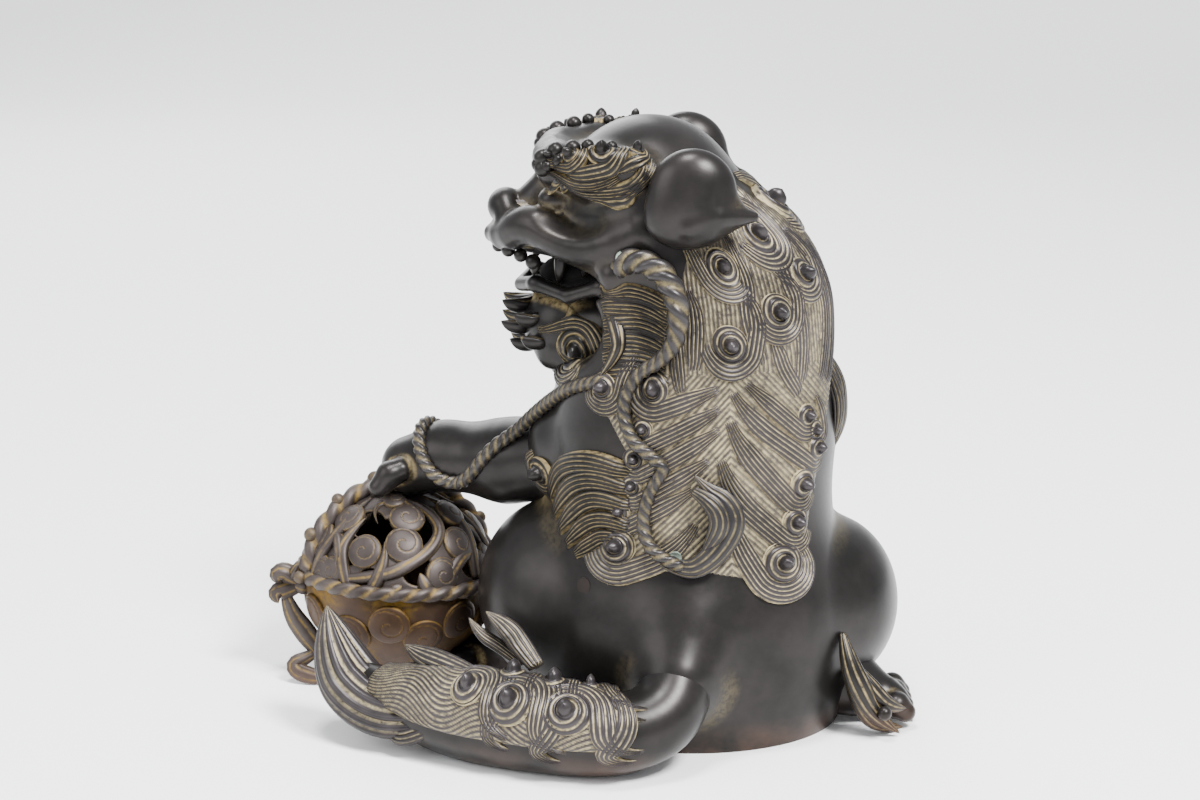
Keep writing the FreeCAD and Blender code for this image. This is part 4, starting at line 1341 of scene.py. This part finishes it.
@dataclass
class Studio:
    """Pale floor, soft lights and the camera, in millimetres round the figure."""

    turn: float = 180.0
    rise: float = 15.0
    distance: float = 1250.0
    lens: float = 90.0
    aside: float = 37.5
    above: float = 127.1

    def make_floor(self) -> None:
        """A floor that curls up far behind, as one profile carried across."""
        reach = np.linspace(-3000, 3000, 40)[:, None]
        depth = np.concatenate([np.linspace(3000, -1500, 30),
                                -1500 - 900 * np.sin(np.linspace(0, 1.5, 20))])
        height = np.concatenate([np.zeros(30), 900 * (1 - np.cos(np.linspace(0, 1.5, 20)))])
        grid = np.stack([reach * np.ones(50), depth * np.ones_like(reach), height * np.ones_like(reach)],
                        -1)
        parts = MeshParts()
        parts.add_grid(grid, np.zeros(grid.shape[:2]), out=np.array([0.0, 0.0, 1.0]))
        floor = parts.build("studio_floor")
        material = bpy.data.materials.new("matt_paper_sweep")
        material.use_nodes = True
        shader = material.node_tree.nodes["Principled BSDF"]
        shader.inputs["Base Color"].default_value = linear("#f7f7f7")
        shader.inputs["Roughness"].default_value = 0.75
        floor.data.materials.append(material)

    def make_light(self, name: str, place: Point, power: float, size: float) -> None:
        """A soft square light that faces the figure's middle."""
        lamp = bpy.data.lights.new(name, "AREA")
        lamp.energy = power
        lamp.size = size * MM
        holder = bpy.data.objects.new(name, lamp)
        holder.location = Vector(place) * MM
        holder.rotation_mode = "QUATERNION"
        holder.rotation_quaternion = (Vector((30, 0, 120)) - Vector(place)).to_track_quat("-Z", "Y")
        bpy.context.collection.objects.link(holder)

    def make_camera(self) -> None:
        """Looks at the back from a little above; the figure stands to the right of the middle."""
        a, e = math.radians(self.turn), math.radians(self.rise)
        back = Vector((math.sin(a) * math.cos(e), -math.cos(a) * math.cos(e), math.sin(e)))
        aim = (-back).to_track_quat("-Z", "Y")
        camera = bpy.data.cameras.new("camera")
        camera.lens = self.lens
        camera.clip_start = 0.01
        holder = bpy.data.objects.new("camera", camera)
        holder.rotation_mode = "QUATERNION"
        holder.rotation_quaternion = aim
        place = back * self.distance - aim @ Vector((self.aside, 0, 0)) + aim @ Vector((0, self.above, 0))
        holder.location = place * MM
        bpy.context.collection.objects.link(holder)
        bpy.context.scene.camera = holder

    def make(self) -> None:
        """Camera, floor, four lights and a pale sky."""
        self.make_camera()
        self.make_floor()
        self.make_light("key", (-700, 900, 1500), 92, 480)
        self.make_light("top", (150, 260, 1500), 26, 330)
        self.make_light("fill", (1300, 700, 900), 14, 1000)
        self.make_light("front", (500, -1300, 900), 16, 1000)
        world = bpy.data.worlds.new("pale_sky")
        bpy.context.scene.world = world
        world.use_nodes = True
        background = world.node_tree.nodes["Background"]
        background.inputs["Color"].default_value = linear("#eef0f4")
        background.inputs["Strength"].default_value = 1.15


# ------------------------------------------------------------------------------------------ main

def main() -> None:
    """Loads the model, builds every sub-assembly and gives each imported node its finish."""
    logging.basicConfig(level=logging.INFO, format="%(message)s")
    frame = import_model()
    Studio().make()
    figure = Figure()
    figure.make()
    host = figure.host()
    Mane().make(host)
    Head(figure).make()
    Limbs().make(host)
    Tail().make()
    Ball().make()
    Leash(figure).make()
    finishes = {"base_plate": Finish.PLATE, "core_plugs": Finish.PLUG, "solder_pads": Finish.SOLDER}
    for name, node in frame["nodes"].items():
        node.data.materials.clear()
        node.data.materials.append(finishes.get(name, Finish.BODY).material())


if __name__ == "__main__":
    main()
